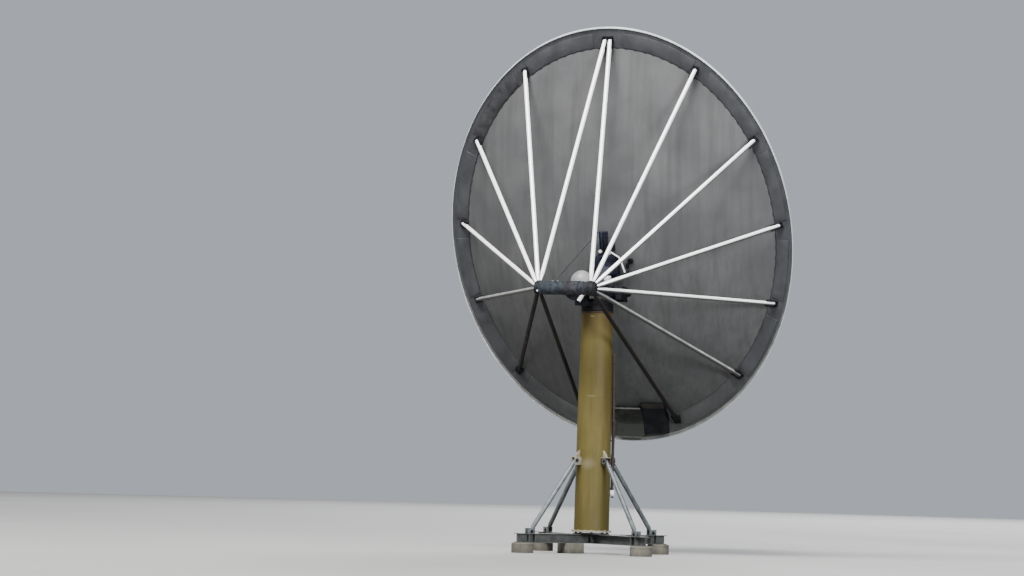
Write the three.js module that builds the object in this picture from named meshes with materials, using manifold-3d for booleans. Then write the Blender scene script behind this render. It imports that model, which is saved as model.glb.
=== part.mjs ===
// Offset dish antenna on an azimuth-elevation mount, in millimetres, +Z up.
// The dish looks toward -Y, +X is its left side seen from behind, the ground is z = 0.
import * as THREE from "three";
import { mergeVertices } from "three/addons/utils/BufferGeometryUtils.js";
import Module from "manifold-3d";

const wasm = await Module();
wasm.setup();

// Driving dimensions
const GAP = 0.3;
const CENTRE_Y = 1720;
const RIM_LONG = 3500;
const RIM_WIDE = 3050;
const FLANGE_SHARE = 0.1;
const RIM_SHEET = 8;
const RIM_LIP = 26;
const DISH_SHEET = 10;
const FOCAL_LENGTH = 2440;
const DISH_SIDES = 72;
const RIM_TILT = THREE.MathUtils.degToRad(13.6);
const RIM_CENTRE = new THREE.Vector3(0, -927, 5294);
const AXIS_Z = 4310;
const TUBE_Y = 1448;
const TUBE_Z = 4307;
const TUBE_RADIUS = 108;
const NODE_X = 452;
const HUB_RADIUS = 112;
const HUB_END = 545;
const STRUT_RADIUS = 35;
const STRUT_INSET = 180;
const STRUT_ANGLES = [0.8, 32.2, 60.7, 86.7, 110.0, 135.6, 163.0];
const PEDESTAL_FOOT_Z = 353;
const PEDESTAL_TOP_Z = 3985;
const PEDESTAL_RADIUS_LOW = 290;
const PEDESTAL_RADIUS_TOP = 258;
const BEAM_TOP_Z = 320;
const BEAM_BOTTOM_Z = 165;
const BEAM_LENGTH = 1500;
const BEAM_WIDTH = 150;
const LEG_ANGLE = 58.1;
const FOOT_RADIUS = 1235;
const BRACE_TOP_RADIUS = 370;
const BRACE_TOP_Z = 1523;
const BRACE_FOOT_Z = 350;
const BRACE_RADIUS = 38;
const HEAD_RADIUS = 262;
const SHAFT_RADIUS = 45;
const SHAFT_BORE = 46;
const PIN_RADIUS = 16;
const PIN_HOLE = 17;
const ARM_X = 296;
const ARM_WIDTH = 44;
const TUBE_REACH = ARM_X + ARM_WIDTH / 2 + 5;

const X = new THREE.Vector3(1, 0, 0);
const Z = new THREE.Vector3(0, 0, 1);

function finish(color, roughness, metalness) {
  return new THREE.MeshStandardMaterial({ color, roughness, metalness });
}
const OCHRE = finish(0x8c7a46, 0.6, 0.1);
const GALVANISED = finish(0x9aa3a8, 0.5, 0.7);
const ALUMINIUM = finish(0xd9dcdd, 0.35, 0.8);
const DISH_GREY = finish(0x8b8e92, 0.6, 0.4);
const RIM_GREY = finish(0x6e7276, 0.7, 0.3);
const SHROUD_DARK = finish(0x24211f, 0.85, 0.0);
const BOX_GREY = finish(0x7d7f82, 0.55, 0.2);
const DARK = finish(0x2a2a30, 0.6, 0.3);
const WHITE = finish(0xe6e6e2, 0.45, 0.0);
const CONCRETE = finish(0xa9a497, 0.95, 0.0);
const STEEL = finish(0x6d7073, 0.4, 0.8);
const BROWN = finish(0x6b4a3c, 0.7, 0.2);

// Solids

// Welds a closed geometry, drops its slivers and turns its faces outward.
function solid(geometry) {
  const bare = new THREE.BufferGeometry();
  bare.setAttribute("position", geometry.getAttribute("position"));
  if (geometry.index) bare.setIndex(geometry.index);
  const welded = mergeVertices(bare, 1e-3);
  const spots = welded.getAttribute("position").array;
  const index = welded.index.array;
  const corner = (k) => new THREE.Vector3().fromArray(spots, 3 * k);
  const faces = [];
  let volume = 0;
  for (let i = 0; i < index.length; i += 3) {
    const [p, q, r] = [index[i], index[i + 1], index[i + 2]];
    if (p === q || q === r || r === p) continue;
    faces.push([p, q, r]);
    volume += corner(p).dot(corner(q).cross(corner(r)));
  }
  const wound = volume < 0 ? faces.map((face) => face.reverse()) : faces;
  return new wasm.Manifold(new wasm.Mesh({
    numProp: 3,
    vertProperties: new Float32Array(spots),
    triVerts: new Uint32Array(wound.flat()),
  }));
}

function fuse(...pieces) {
  return pieces.reduce((whole, piece) => whole.add(piece));
}

// Turns a closed profile of [radius, height] pairs about +Z.
function revolve(profile, sides, place) {
  const points = profile.map(([radius, height]) => new THREE.Vector2(radius, height));
  const turned = new THREE.LatheGeometry(points, sides).rotateX(Math.PI / 2);
  return solid(place ? turned.applyMatrix4(place) : turned);
}

function along(start, direction) {
  const turn = new THREE.Quaternion().setFromUnitVectors(Z, direction.clone().normalize());
  return new THREE.Matrix4().compose(start, turn, new THREE.Vector3(1, 1, 1));
}

// A round bar whose [distance, radius] stations run from start toward end.
function rod(start, direction, stations, sides) {
  const first = stations[0][0];
  const last = stations[stations.length - 1][0];
  const skin = stations.map(([distance, radius]) => [radius, distance]);
  return revolve([[0, first], ...skin, [0, last]], sides, along(start, direction));
}

function bar(start, end, radius, sides) {
  const run = end.clone().sub(start);
  return rod(start, run, [[0, radius], [run.length(), radius]], sides);
}

function disc(x, y, low, high, radius, sides = 32) {
  return bar(new THREE.Vector3(x, y, low), new THREE.Vector3(x, y, high), radius, sides);
}

function block(low, high, place) {
  const size = high.map((value, k) => value - low[k]);
  const middle = high.map((value, k) => (value + low[k]) / 2);
  const shape = new THREE.BoxGeometry(...size).translate(...middle);
  return solid(place ? shape.applyMatrix4(place) : shape);
}

// A plate standing in the YZ plane, from x = low to x = high.
const STANDING = new THREE.Matrix4().makeBasis(
  new THREE.Vector3(0, 1, 0), new THREE.Vector3(0, 0, 1), new THREE.Vector3(1, 0, 0));
function plate(outline, low, high) {
  const shape = new THREE.Shape(outline.map(([y, z]) => new THREE.Vector2(y, z)));
  const sheet = new THREE.ExtrudeGeometry(shape, { depth: high - low, bevelEnabled: false });
  return solid(sheet.translate(0, 0, low).applyMatrix4(STANDING));
}

function arc(y, z, radius, from, to, steps) {
  return Array.from({ length: steps + 1 }, (_, k) => {
    const turn = THREE.MathUtils.degToRad(from + (to - from) * k / steps);
    return [y + radius * Math.cos(turn), z + radius * Math.sin(turn)];
  });
}

// Frames of the dish
const normal = new THREE.Vector3(0, -Math.cos(RIM_TILT), Math.sin(RIM_TILT));
const upward = new THREE.Vector3(0, Math.sin(RIM_TILT), Math.cos(RIM_TILT));
const SLANT = Math.acos(RIM_WIDE / RIM_LONG);
const BEAM_TILT = RIM_TILT + SLANT;
const sight = new THREE.Vector3(0, -Math.cos(BEAM_TILT), Math.sin(BEAM_TILT));
const across = new THREE.Vector3(0, Math.sin(BEAM_TILT), Math.cos(BEAM_TILT));

// Local x and y lie in the rim plane, scaled so that the rim is a circle, and z is the depth.
const bowl = new THREE.Matrix4().makeBasis(
  X.clone().negate(), upward.clone().divideScalar(Math.cos(SLANT)), sight.clone().negate());
bowl.setPosition(RIM_CENTRE);

const ringPlane = new THREE.Matrix4().makeBasis(X.clone().negate(), upward, normal.clone().negate());
ringPlane.setPosition(RIM_CENTRE);

function rimPoint(degrees, side, inset) {
  const turn = THREE.MathUtils.degToRad(degrees);
  return RIM_CENTRE.clone()
    .addScaledVector(upward, (RIM_LONG - inset) * Math.cos(turn))
    .addScaledVector(X, side * (RIM_WIDE - inset) * Math.sin(turn));
}

// Dish: a parabolic skin inside a flat rim flange, whose back face is at depth 0.
const SKIN_RADIUS = RIM_WIDE * (1 - FLANGE_SHARE);
function depthAt(radius) {
  return (SKIN_RADIUS ** 2 - radius ** 2) / (4 * FOCAL_LENGTH) - RIM_SHEET;
}

// A point given by height across the beam, distance along the sight line and side.
const APERTURE_CENTRE = 2 * FOCAL_LENGTH * Math.tan(SLANT);
const RIM_DISTANCE = (APERTURE_CENTRE ** 2 + SKIN_RADIUS ** 2) / (4 * FOCAL_LENGTH);
function optic(height, distance, side = 0) {
  return RIM_CENTRE.clone()
    .addScaledVector(across, height - APERTURE_CENTRE)
    .addScaledVector(sight, distance - RIM_DISTANCE)
    .addScaledVector(X, side);
}

function primaryReflector() {
  const radii = [0, 450, 900, 1350, 1750, 2120, 2450, SKIN_RADIUS - GAP];
  const front = radii.map((radius) => [radius, depthAt(radius)]);
  const back = radii.map((radius) => [radius, depthAt(radius) + DISH_SHEET]).reverse();
  return revolve([...front, ...back], DISH_SIDES, bowl);
}

// Everything from just behind the skin forward.
function bowlRoom() {
  const radii = [0, 450, 900, 1350, 1750, 2120, 2450, SKIN_RADIUS];
  const back = radii.map((radius) => [radius, depthAt(radius) + DISH_SHEET + 2 * GAP]);
  return revolve([...back, [SKIN_RADIUS, -60], [0, -60]], DISH_SIDES, bowl);
}

function rimRing() {
  return revolve([
    [RIM_WIDE, -RIM_SHEET],
    [RIM_WIDE, RIM_LIP],
    [RIM_WIDE - RIM_SHEET, RIM_LIP],
    [RIM_WIDE - RIM_SHEET, 0],
    [SKIN_RADIUS, 0],
    [SKIN_RADIUS, -RIM_SHEET],
    [RIM_WIDE, -RIM_SHEET],
  ], DISH_SIDES, bowl);
}

// A wedge-shaped box on the back of the flange's lower end and the skin above it.
function rimBox(low, high, bottom, top, depth) {
  const outline = [[bottom, GAP], [bottom, depth], [-3200, depth], [top, depth + 115], [top, GAP]];
  const shape = new THREE.Shape(outline.map(([height, back]) => new THREE.Vector2(height, back)));
  const prism = new THREE.ExtrudeGeometry(shape, { depth: high - low, bevelEnabled: false });
  const place = new THREE.Matrix4().makeBasis(upward, normal.clone().negate(), X);
  place.setPosition(RIM_CENTRE);
  return solid(prism.translate(0, 0, low).applyMatrix4(place)).subtract(bowlRoom());
}

// Struts
function nodePoint(side) {
  return new THREE.Vector3(side * NODE_X, TUBE_Y, TUBE_Z);
}

function hub(side, extra = 0) {
  const start = new THREE.Vector3(side * (TUBE_REACH - extra), TUBE_Y, TUBE_Z);
  const length = HUB_END - TUBE_REACH + 2 * extra;
  const radius = HUB_RADIUS + extra;
  const stations = [[0, radius], [length - 12, radius], [length, radius - 12]];
  return rod(start, X.clone().multiplyScalar(side), stations, 32);
}

function strut(degrees, side) {
  const start = nodePoint(side);
  const end = rimPoint(degrees, side, STRUT_INSET);
  const run = end.clone().sub(start);
  const length = run.length();
  const tube = rod(start, run, [
    [60, 18],
    [130, 20],
    [210, STRUT_RADIUS],
    [length - 200, STRUT_RADIUS],
    [length - 90, 22],
    [length + 40, 22],
  ], 12);
  const footPlace = ringPlane.clone().setPosition(end);
  const pad = revolve([[0, GAP], [34, GAP], [34, 14], [0, 14]], 12, footPlace);
  const beyond = block([-200, -200, -200], [200, 200, GAP], footPlace);
  return fuse(tube, pad).subtract(beyond).subtract(hub(side, 2 * GAP));
}

// Back structure
function transverseTube() {
  const reach = TUBE_REACH - GAP;
  const [left, right] = [reach, -reach].map((x) => new THREE.Vector3(x, TUBE_Y, TUBE_Z));
  return bar(left, right, TUBE_RADIUS, 24);
}

function ringOnTube(low, high, inner, outer, y, z) {
  return revolve(
    [[inner, low], [outer, low], [outer, high], [inner, high], [inner, low]],
    24, along(new THREE.Vector3(0, y, z), X));
}

function tubeSleeve() {
  return ringOnTube(-ARM_X + ARM_WIDTH / 2 + 5, -20, TUBE_RADIUS + GAP, 120, TUBE_Y, TUBE_Z);
}

// The arm ends on the front of the tube.
function elevationArm(side) {
  const low = ARM_X - ARM_WIDTH / 2;
  const high = ARM_X + ARM_WIDTH / 2;
  const outline = [
    ...arc(0, AXIS_Z, 75, 90, 270, 10),
    [TUBE_Y, TUBE_Z - 88],
    [TUBE_Y, TUBE_Z + 88],
  ];
  const [near, far] = side > 0 ? [low, high] : [-high, -low];
  const [from, to] = [near - 5, far + 5];
  const shaftHole = bar(
    new THREE.Vector3(from, 0, AXIS_Z), new THREE.Vector3(to, 0, AXIS_Z), SHAFT_BORE, 24);
  const tubeHole = bar(
    new THREE.Vector3(from, TUBE_Y, TUBE_Z), new THREE.Vector3(to, TUBE_Y, TUBE_Z),
    TUBE_RADIUS + GAP, 24);
  return plate(outline, near, far).subtract(shaftHole).subtract(tubeHole);
}

const backCentre = RIM_CENTRE.clone().addScaledVector(sight, -(depthAt(0) + DISH_SHEET));
function centreSupport() {
  const pivot = new THREE.Vector3(0, 0, AXIS_Z);
  const run = backCentre.clone().sub(pivot);
  const place = along(pivot, run);
  const reach = run.length();
  const column = block([-110, -90, 0], [110, 90, reach - 20], place);
  const sleeve = bar(new THREE.Vector3(-195, 0, AXIS_Z), new THREE.Vector3(195, 0, AXIS_Z), 78, 24);
  const hole = bar(
    new THREE.Vector3(-230, 0, AXIS_Z), new THREE.Vector3(230, 0, AXIS_Z), SHAFT_BORE, 24);
  const padPlace = ringPlane.clone().setPosition(backCentre);
  const pad = revolve([[0, -14], [230, -14], [230, 60], [0, 60]], 32, padPlace);
  return fuse(column, sleeve, pad).subtract(hole).subtract(bowlRoom());
}

// A cable rail that climbs the back of the skin from the pad.
function backRail() {
  const place = ringPlane.clone().setPosition(backCentre);
  const rail = block([-75, 245, -160], [75, 620, 60], place);
  return rail.subtract(bowlRoom());
}

// Front optics: the secondary faces the focus inside the cone of rays from the skin's edges.
const SPHERE_RADIUS = 1750;
const SECONDARY_RADIUS = 1200;
const CHORD_HEIGHT = Math.sqrt(SPHERE_RADIUS ** 2 - SECONDARY_RADIUS ** 2);
const CONE_TILT = THREE.MathUtils.degToRad(48.4);
const outwardAxis = across.clone().multiplyScalar(-Math.sin(CONE_TILT))
  .addScaledVector(sight, Math.cos(CONE_TILT));
const chordCentre = optic(0, FOCAL_LENGTH)
  .addScaledVector(outwardAxis, SECONDARY_RADIUS / Math.tan(CONE_TILT));
const sphereCentre = chordCentre.clone().addScaledVector(outwardAxis, -CHORD_HEIGHT);
const secondaryPlace = new THREE.Matrix4().makeBasis(
  X, outwardAxis.clone().cross(X), outwardAxis).setPosition(sphereCentre);

function secondaryReflector() {
  const edge = Math.asin(SECONDARY_RADIUS / SPHERE_RADIUS);
  const steps = 6;
  const cap = (radius) => Array.from({ length: steps + 1 }, (_, k) => {
    const turn = edge * k / steps;
    return [radius * Math.sin(turn), radius * Math.cos(turn)];
  });
  return revolve([...cap(SPHERE_RADIUS), ...cap(SPHERE_RADIUS + 12).reverse()], 40, secondaryPlace);
}

function secondaryRimPoint(degrees, radius) {
  const turn = THREE.MathUtils.degToRad(degrees);
  return new THREE.Vector3(radius * Math.sin(turn), -radius * Math.cos(turn), CHORD_HEIGHT - GAP)
    .applyMatrix4(secondaryPlace);
}

function primaryRimPoint(degrees, radius) {
  const turn = THREE.MathUtils.degToRad(degrees);
  const depth = -RIM_SHEET - 2 * GAP;
  return new THREE.Vector3(-radius * Math.sin(turn), -radius * Math.cos(turn), depth)
    .applyMatrix4(bowl);
}

// A stay from the flange to the side of the secondary, with a foot on the flange.
const STAY_ANGLE = 71;
const FLANGE_MIDDLE = RIM_WIDE * (1 - FLANGE_SHARE / 2);
function secondaryStay(side) {
  const start = primaryRimPoint(side * STAY_ANGLE, FLANGE_MIDDLE);
  const end = secondaryRimPoint(side * STAY_ANGLE, SECONDARY_RADIUS - 30);
  const run = end.clone().sub(start);
  const length = run.length();
  const tube = rod(start, run, [[-60, 24], [length + 60, 24]], 12);
  const footPlace = ringPlane.clone().setPosition(start);
  const foot = block([-60, -60, -12], [60, 60, 0], footPlace);
  const behind = block([-300, -300, 0], [300, 300, 300], footPlace);
  const cut = CHORD_HEIGHT - GAP;
  const beyond = block([-3000, -3000, cut], [3000, 3000, cut + 3000], secondaryPlace);
  return fuse(tube, foot).subtract(behind).subtract(beyond);
}

// A sheet with an inner and an outer skin, each between two rows of points.
function sheet(grid, far) {
  const count = grid.length / 2;
  const spots = [...grid, ...far].flatMap((point) => point.toArray());
  const faces = [];
  const quad = (p, q, r, s) => faces.push(p, q, r, p, r, s);
  const other = 2 * count;
  for (let k = 0; k + 1 < count; k += 1) {
    quad(k, k + 1, count + k + 1, count + k);
    quad(other + k, other + count + k, other + count + k + 1, other + k + 1);
    quad(k, other + k, other + k + 1, k + 1);
    quad(count + k, count + k + 1, other + count + k + 1, other + count + k);
  }
  quad(0, count, other + count, other);
  const end = count - 1;
  quad(end, other + end, other + count + end, count + end);
  const geometry = new THREE.BufferGeometry();
  geometry.setAttribute("position", new THREE.Float32BufferAttribute(spots, 3));
  geometry.setIndex(faces);
  return solid(geometry);
}

// Shares run from -1 on the right edge of the shroud to 1 on the left.
const SHROUD_WIDE = 47;
const SHROUD_NARROW = 70;
function shroudPanel(from, to, inner = 0, outer = 10) {
  const steps = 4;
  const shares = Array.from({ length: steps + 1 }, (_, k) => from + (to - from) * k / steps);
  const skin = (outset) => [
    ...shares.map((share) => primaryRimPoint(SHROUD_WIDE * share, SKIN_RADIUS + 60 + outset)),
    ...shares.map((share) =>
      secondaryRimPoint(SHROUD_NARROW * share, SECONDARY_RADIUS - 5 + outset)),
  ];
  return sheet(skin(inner), skin(outer));
}

// Base
function legPlace(degrees) {
  return new THREE.Matrix4().makeRotationZ(THREE.MathUtils.degToRad(degrees));
}

function pier(degrees) {
  const spot = new THREE.Vector3(1380, 0, 0).applyMatrix4(legPlace(degrees));
  return disc(spot.x, spot.y, 0, BEAM_BOTTOM_Z - GAP, 180, 24);
}

function iBeam(from, to) {
  const half = BEAM_WIDTH / 2;
  const flange = 12;
  const web = 9;
  return fuse(
    block([from, -half, BEAM_TOP_Z - flange], [to, half, BEAM_TOP_Z]),
    block([from, -half, BEAM_BOTTOM_Z], [to, half, BEAM_BOTTOM_Z + flange]),
    block([from, -web / 2, BEAM_BOTTOM_Z], [to, web / 2, BEAM_TOP_Z]),
  );
}

// A square block under the rear left half of the main beam, beside the pedestal.
function centreBlock() {
  return turned(block([250, -160, 0], [570, 160, BEAM_BOTTOM_Z - GAP]), LEG_ANGLE);
}

// A bar across a leg, for pins and their holes.
function crossPin(at, height, reach, radius) {
  return bar(new THREE.Vector3(at, -reach, height), new THREE.Vector3(at, reach, height), radius, 16);
}

function footLugs(at) {
  const ear = (y) => block([at - 70, y - 8, BEAM_TOP_Z - 2], [at + 70, y + 8, BEAM_TOP_Z + 85]);
  return fuse(ear(-38), ear(38)).subtract(crossPin(at, BRACE_FOOT_Z, 60, PIN_HOLE));
}

function turned(manifold, degrees) {
  return manifold.rotate([0, 0, degrees]);
}

function mainBeam() {
  const beam = fuse(iBeam(-BEAM_LENGTH, BEAM_LENGTH), footLugs(FOOT_RADIUS), footLugs(-FOOT_RADIUS));
  return turned(beam, LEG_ANGLE);
}

function crossBeam(degrees) {
  const beam = fuse(iBeam(BEAM_WIDTH / 2 + GAP, BEAM_LENGTH), footLugs(FOOT_RADIUS));
  return turned(beam, degrees);
}

function levellingPlate() {
  const slab = disc(0, 0, BEAM_TOP_Z + GAP, BEAM_TOP_Z + 16, 300, 32);
  const studs = Array.from({ length: 8 }, (_, k) => {
    const turn = Math.PI * (k + 0.5) / 4;
    const [x, y] = [255 * Math.cos(turn), 255 * Math.sin(turn)];
    return disc(x, y, BEAM_TOP_Z + 10, PEDESTAL_FOOT_Z - GAP, 22, 8);
  });
  return fuse(slab, ...studs);
}

function baseFlange() {
  return disc(0, 0, PEDESTAL_FOOT_Z, PEDESTAL_FOOT_Z + 28, 330, 40);
}

function braceBracket(degrees) {
  const cheeks = [-52, 40].map((y) =>
    block([270, y, BRACE_TOP_Z - 70], [BRACE_TOP_RADIUS + 40, y + 12, BRACE_TOP_Z + 60]));
  const shelf = block([270, -52, BRACE_TOP_Z + 50], [BRACE_TOP_RADIUS + 40, 52, BRACE_TOP_Z + 62]);
  const hole = crossPin(BRACE_TOP_RADIUS, BRACE_TOP_Z, 70, PIN_HOLE);
  return turned(fuse(...cheeks, shelf).subtract(hole), degrees);
}

function pedestalTube() {
  const low = PEDESTAL_FOOT_Z + 28 + GAP;
  const high = PEDESTAL_TOP_Z - 30 - GAP;
  const wall = 12;
  const skin = revolve([
    [PEDESTAL_RADIUS_LOW, low],
    [284, 2100],
    [PEDESTAL_RADIUS_TOP, high],
    [PEDESTAL_RADIUS_TOP - wall, high],
    [284 - wall, 2100],
    [PEDESTAL_RADIUS_LOW - wall, low],
    [PEDESTAL_RADIUS_LOW, low],
  ], 40);
  const inside = disc(0, 0, low - 10, 2000, PEDESTAL_RADIUS_LOW - wall - 4, 40);
  const brackets = [0, 1, 2, 3].map((k) => braceBracket(LEG_ANGLE + 90 * k));
  return fuse(skin, ...brackets.map((bracket) => bracket.subtract(inside)));
}

function topFlange() {
  return disc(0, 0, PEDESTAL_TOP_Z - 30, PEDESTAL_TOP_Z, 270, 40);
}

function brace(degrees) {
  const top = new THREE.Vector3(BRACE_TOP_RADIUS, 0, BRACE_TOP_Z);
  const foot = new THREE.Vector3(FOOT_RADIUS, 0, BRACE_FOOT_Z);
  const run = foot.clone().sub(top);
  const length = run.length();
  const tube = rod(top, run, [[-30, 30], [30, 30], [90, BRACE_RADIUS],
    [length - 110, BRACE_RADIUS], [length - 60, 24], [length + 8, 24]], 16);
  const topPin = crossPin(BRACE_TOP_RADIUS, BRACE_TOP_Z, 60, PIN_RADIUS);
  const footPin = crossPin(FOOT_RADIUS, BRACE_FOOT_Z, 56, PIN_RADIUS);
  return turned(fuse(tube, topPin, footPin), degrees);
}

// A cable pipe up the side of the pedestal, with a terminal box at its foot.
const CONDUIT_ANGLE = 205;
function cableConduit() {
  const at = PEDESTAL_RADIUS_LOW + 28;
  const pipe = disc(at, 0, 1000, 2210, 24, 16);
  const elbow = block([240, -24, 2170], [at, 24, 2218]);
  const clip = (height) => block([240, -34, height], [at, 34, height + 30]);
  const box = rod(new THREE.Vector3(240, 0, 1000), X, [[0, 62], [at - 190, 62], [at - 176, 50]], 20);
  const away = revolve([
    [0, 300], [PEDESTAL_RADIUS_LOW + GAP, 300], [284 + GAP, 2100], [283 + GAP, 2400], [0, 2400],
  ], 40);
  return turned(fuse(pipe, elbow, clip(1380), clip(1850), box), CONDUIT_ANGLE).subtract(away);
}

// Turning head
function azimuthHousing() {
  const low = PEDESTAL_TOP_Z + GAP;
  return revolve([[0, low], [250, low], [HEAD_RADIUS, low + 25], [HEAD_RADIUS, 4120], [245, 4150],
    [0, 4150]], 40);
}

function yoke() {
  const floor = 4150 + GAP;
  const deck = disc(0, 0, floor, 4185, 258, 40);
  const ear = (low, high) => plate(
    [[-150, 4180], [150, 4180], ...arc(0, AXIS_Z, 100, 0, 180, 10)], low, high);
  const shelf = block([-440, -230, floor], [-120, -92, 4185]);
  const hole = bar(
    new THREE.Vector3(-320, 0, AXIS_Z), new THREE.Vector3(320, 0, AXIS_Z), SHAFT_RADIUS + GAP, 24);
  return fuse(deck, ear(204, 262), ear(-262, -204), shelf).subtract(hole);
}

function elevationShaft() {
  const reach = ARM_X + ARM_WIDTH / 2 + 2;
  const [left, right] = [reach + 14, -reach - 14].map((x) => new THREE.Vector3(x, 0, AXIS_Z));
  const cap = (low, high) => bar(
    new THREE.Vector3(low, 0, AXIS_Z), new THREE.Vector3(high, 0, AXIS_Z), 66, 24);
  return fuse(bar(left, right, SHAFT_RADIUS, 24), cap(reach, reach + 14), cap(-reach - 14, -reach));
}

function elevationGearbox() {
  const reach = ARM_X + ARM_WIDTH / 2 + 16 + GAP;
  return block([-436, -220, 4185 + GAP], [-reach, 60, 4395]);
}

// The motor lies on the front of the gearbox.
function elevationMotor() {
  const start = new THREE.Vector3(-388, -220 - GAP, 4290);
  const forward = new THREE.Vector3(0, -1, 0);
  return rod(start, forward, [[0, 50], [130, 50], [140, 42], [200, 42]], 20);
}

const DRIVE_SPOT = [85, 506];
const DRIVE_RADIUS = 105;
function driveColumn() {
  const [x, y] = DRIVE_SPOT;
  const column = disc(x, y, 4060, 4440, DRIVE_RADIUS, 24);
  const bracket = block([x - 80, 150, 4060], [x + 80, y, 4140]);
  const away = disc(0, 0, 3900, 4300, HEAD_RADIUS + GAP, 40);
  return fuse(column, bracket).subtract(away);
}

function domeCover() {
  const [x, y] = DRIVE_SPOT;
  const radius = 178;
  const steps = 8;
  const dome = Array.from({ length: steps + 1 }, (_, k) => {
    const turn = Math.PI * k / (2 * steps);
    return [radius * Math.cos(turn), 4472 + radius * Math.sin(turn)];
  });
  dome[steps][0] = 0;
  return revolve([[0, 4440 + GAP], [radius, 4440 + GAP], ...dome], 32,
    new THREE.Matrix4().makeTranslation(x, y, 0));
}

// The motor leans back and down from the side of the drive column.
function azimuthMotor() {
  const [x, y] = DRIVE_SPOT;
  const start = new THREE.Vector3(x - 85, y + 54, 4270);
  const lean = new THREE.Vector3(0.135, 0.72, -0.68);
  const motor = rod(start, lean, [[-40, 48], [205, 48], [205, 42], [255, 42]], 20);
  return motor.subtract(disc(x, y, 4060 - GAP, 4440, DRIVE_RADIUS + GAP, 24));
}

// Feed
const feedTail = optic(-120, 350);
const feedRun = optic(-380, 1750).sub(feedTail);
const FEED_RADIUS = 180;
const FEED_START = 260;
const FEED_SPLIT = 860;

function feedHousing() {
  return rod(feedTail, feedRun, [[FEED_START, 150], [FEED_START + 20, FEED_RADIUS],
    [FEED_SPLIT - 20, FEED_RADIUS], [FEED_SPLIT, FEED_RADIUS - 15]], 28);
}

function feedCone() {
  const length = feedRun.length();
  return rod(feedTail, feedRun,
    [[FEED_SPLIT + GAP, FEED_RADIUS - 15], [length - 60, 60], [length, 30]], 28);
}

// A saddle that holds the feed above the middle shroud sheet.
function feedSaddle() {
  const middle = feedTail.clone().addScaledVector(feedRun.clone().normalize(), FEED_START + 250);
  const post = block([-110, middle.y - 130, middle.z - 600], [110, middle.y + 130, middle.z]);
  const room = rod(feedTail, feedRun,
    [[FEED_START - 300, FEED_RADIUS + 1], [FEED_SPLIT + 300, FEED_RADIUS + 1]], 28);
  return post.subtract(room).subtract(shroudPanel(-0.335, 0.335, -GAP, 900));
}

// Assembly
const antenna = new THREE.Group();
antenna.name = "dish_antenna";

function add(name, manifold, material) {
  const { vertProperties, triVerts, numProp } = manifold.getMesh();
  const spots = [];
  for (const vertex of triVerts) {
    const at = vertex * numProp;
    spots.push(vertProperties[at], vertProperties[at + 1] + CENTRE_Y, vertProperties[at + 2]);
  }
  const geometry = new THREE.BufferGeometry();
  geometry.setAttribute("position", new THREE.Float32BufferAttribute(spots, 3));
  geometry.computeVertexNormals();
  const mesh = new THREE.Mesh(geometry, material);
  mesh.name = name;
  antenna.add(mesh);
}

const LEGS = [["rear_left", 0], ["rear_right", 90], ["front_right", 180], ["front_left", 270]];
for (const [where, turn] of LEGS) {
  add(`pier_${where}`, pier(LEG_ANGLE + turn), CONCRETE);
  add(`brace_${where}`, brace(LEG_ANGLE + turn), GALVANISED);
}
add("base_beam_main", mainBeam(), GALVANISED);
add("base_beam_cross_rear", crossBeam(LEG_ANGLE + 90), GALVANISED);
add("base_beam_cross_front", crossBeam(LEG_ANGLE + 270), GALVANISED);
add("centre_block", centreBlock(), CONCRETE);
add("levelling_plate", levellingPlate(), STEEL);
add("pedestal_base_flange", baseFlange(), OCHRE);
add("pedestal_tube", pedestalTube(), OCHRE);
add("pedestal_top_flange", topFlange(), BROWN);
add("cable_conduit", cableConduit(), BROWN);

add("azimuth_housing", azimuthHousing(), DARK);
add("elevation_yoke", yoke(), DARK);
add("elevation_shaft", elevationShaft(), STEEL);
add("elevation_gearbox", elevationGearbox(), DARK);
add("elevation_motor", elevationMotor(), DARK);
add("drive_column", driveColumn(), DARK);
add("dome_cover", domeCover(), WHITE);
add("azimuth_motor", azimuthMotor(), WHITE);

add("primary_reflector", primaryReflector(), DISH_GREY);
add("rim_ring", rimRing(), RIM_GREY);
add("rim_box_left", rimBox(-250, 220, -3440, -2900, 100), BOX_GREY);
add("rim_box_right", rimBox(-670, -255, -3360, -2820, 90), DARK);
for (const [where, side] of [["left", 1], ["right", -1]]) {
  STRUT_ANGLES.forEach((degrees, k) => {
    add(`strut_${where}_${k + 1}`, strut(degrees, side), ALUMINIUM);
  });
  add(`hub_${where}`, hub(side), STEEL);
  add(`elevation_arm_${where}`, elevationArm(side), DARK);
  add(`secondary_stay_${where}`, secondaryStay(side), GALVANISED);
}
add("transverse_tube", transverseTube(), GALVANISED);
add("tube_sleeve", tubeSleeve(), DARK);
add("centre_support", centreSupport(), DARK);
add("back_rail", backRail(), DARK);
add("secondary_reflector", secondaryReflector(), DISH_GREY);
add("shroud_right", shroudPanel(-1, -0.3345), SHROUD_DARK);
add("shroud_bottom", shroudPanel(-0.334, 0.334), SHROUD_DARK);
add("shroud_left", shroudPanel(0.3345, 1), SHROUD_DARK);
add("feed_housing", feedHousing(), WHITE);
add("feed_cone", feedCone(), WHITE);
add("feed_saddle", feedSaddle(), STEEL);

export default antenna;
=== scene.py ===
# Looks of the offset dish antenna, in metres, in the same frame as its CAD part.
import math
import bpy
from mathutils import Matrix, Vector


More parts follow.
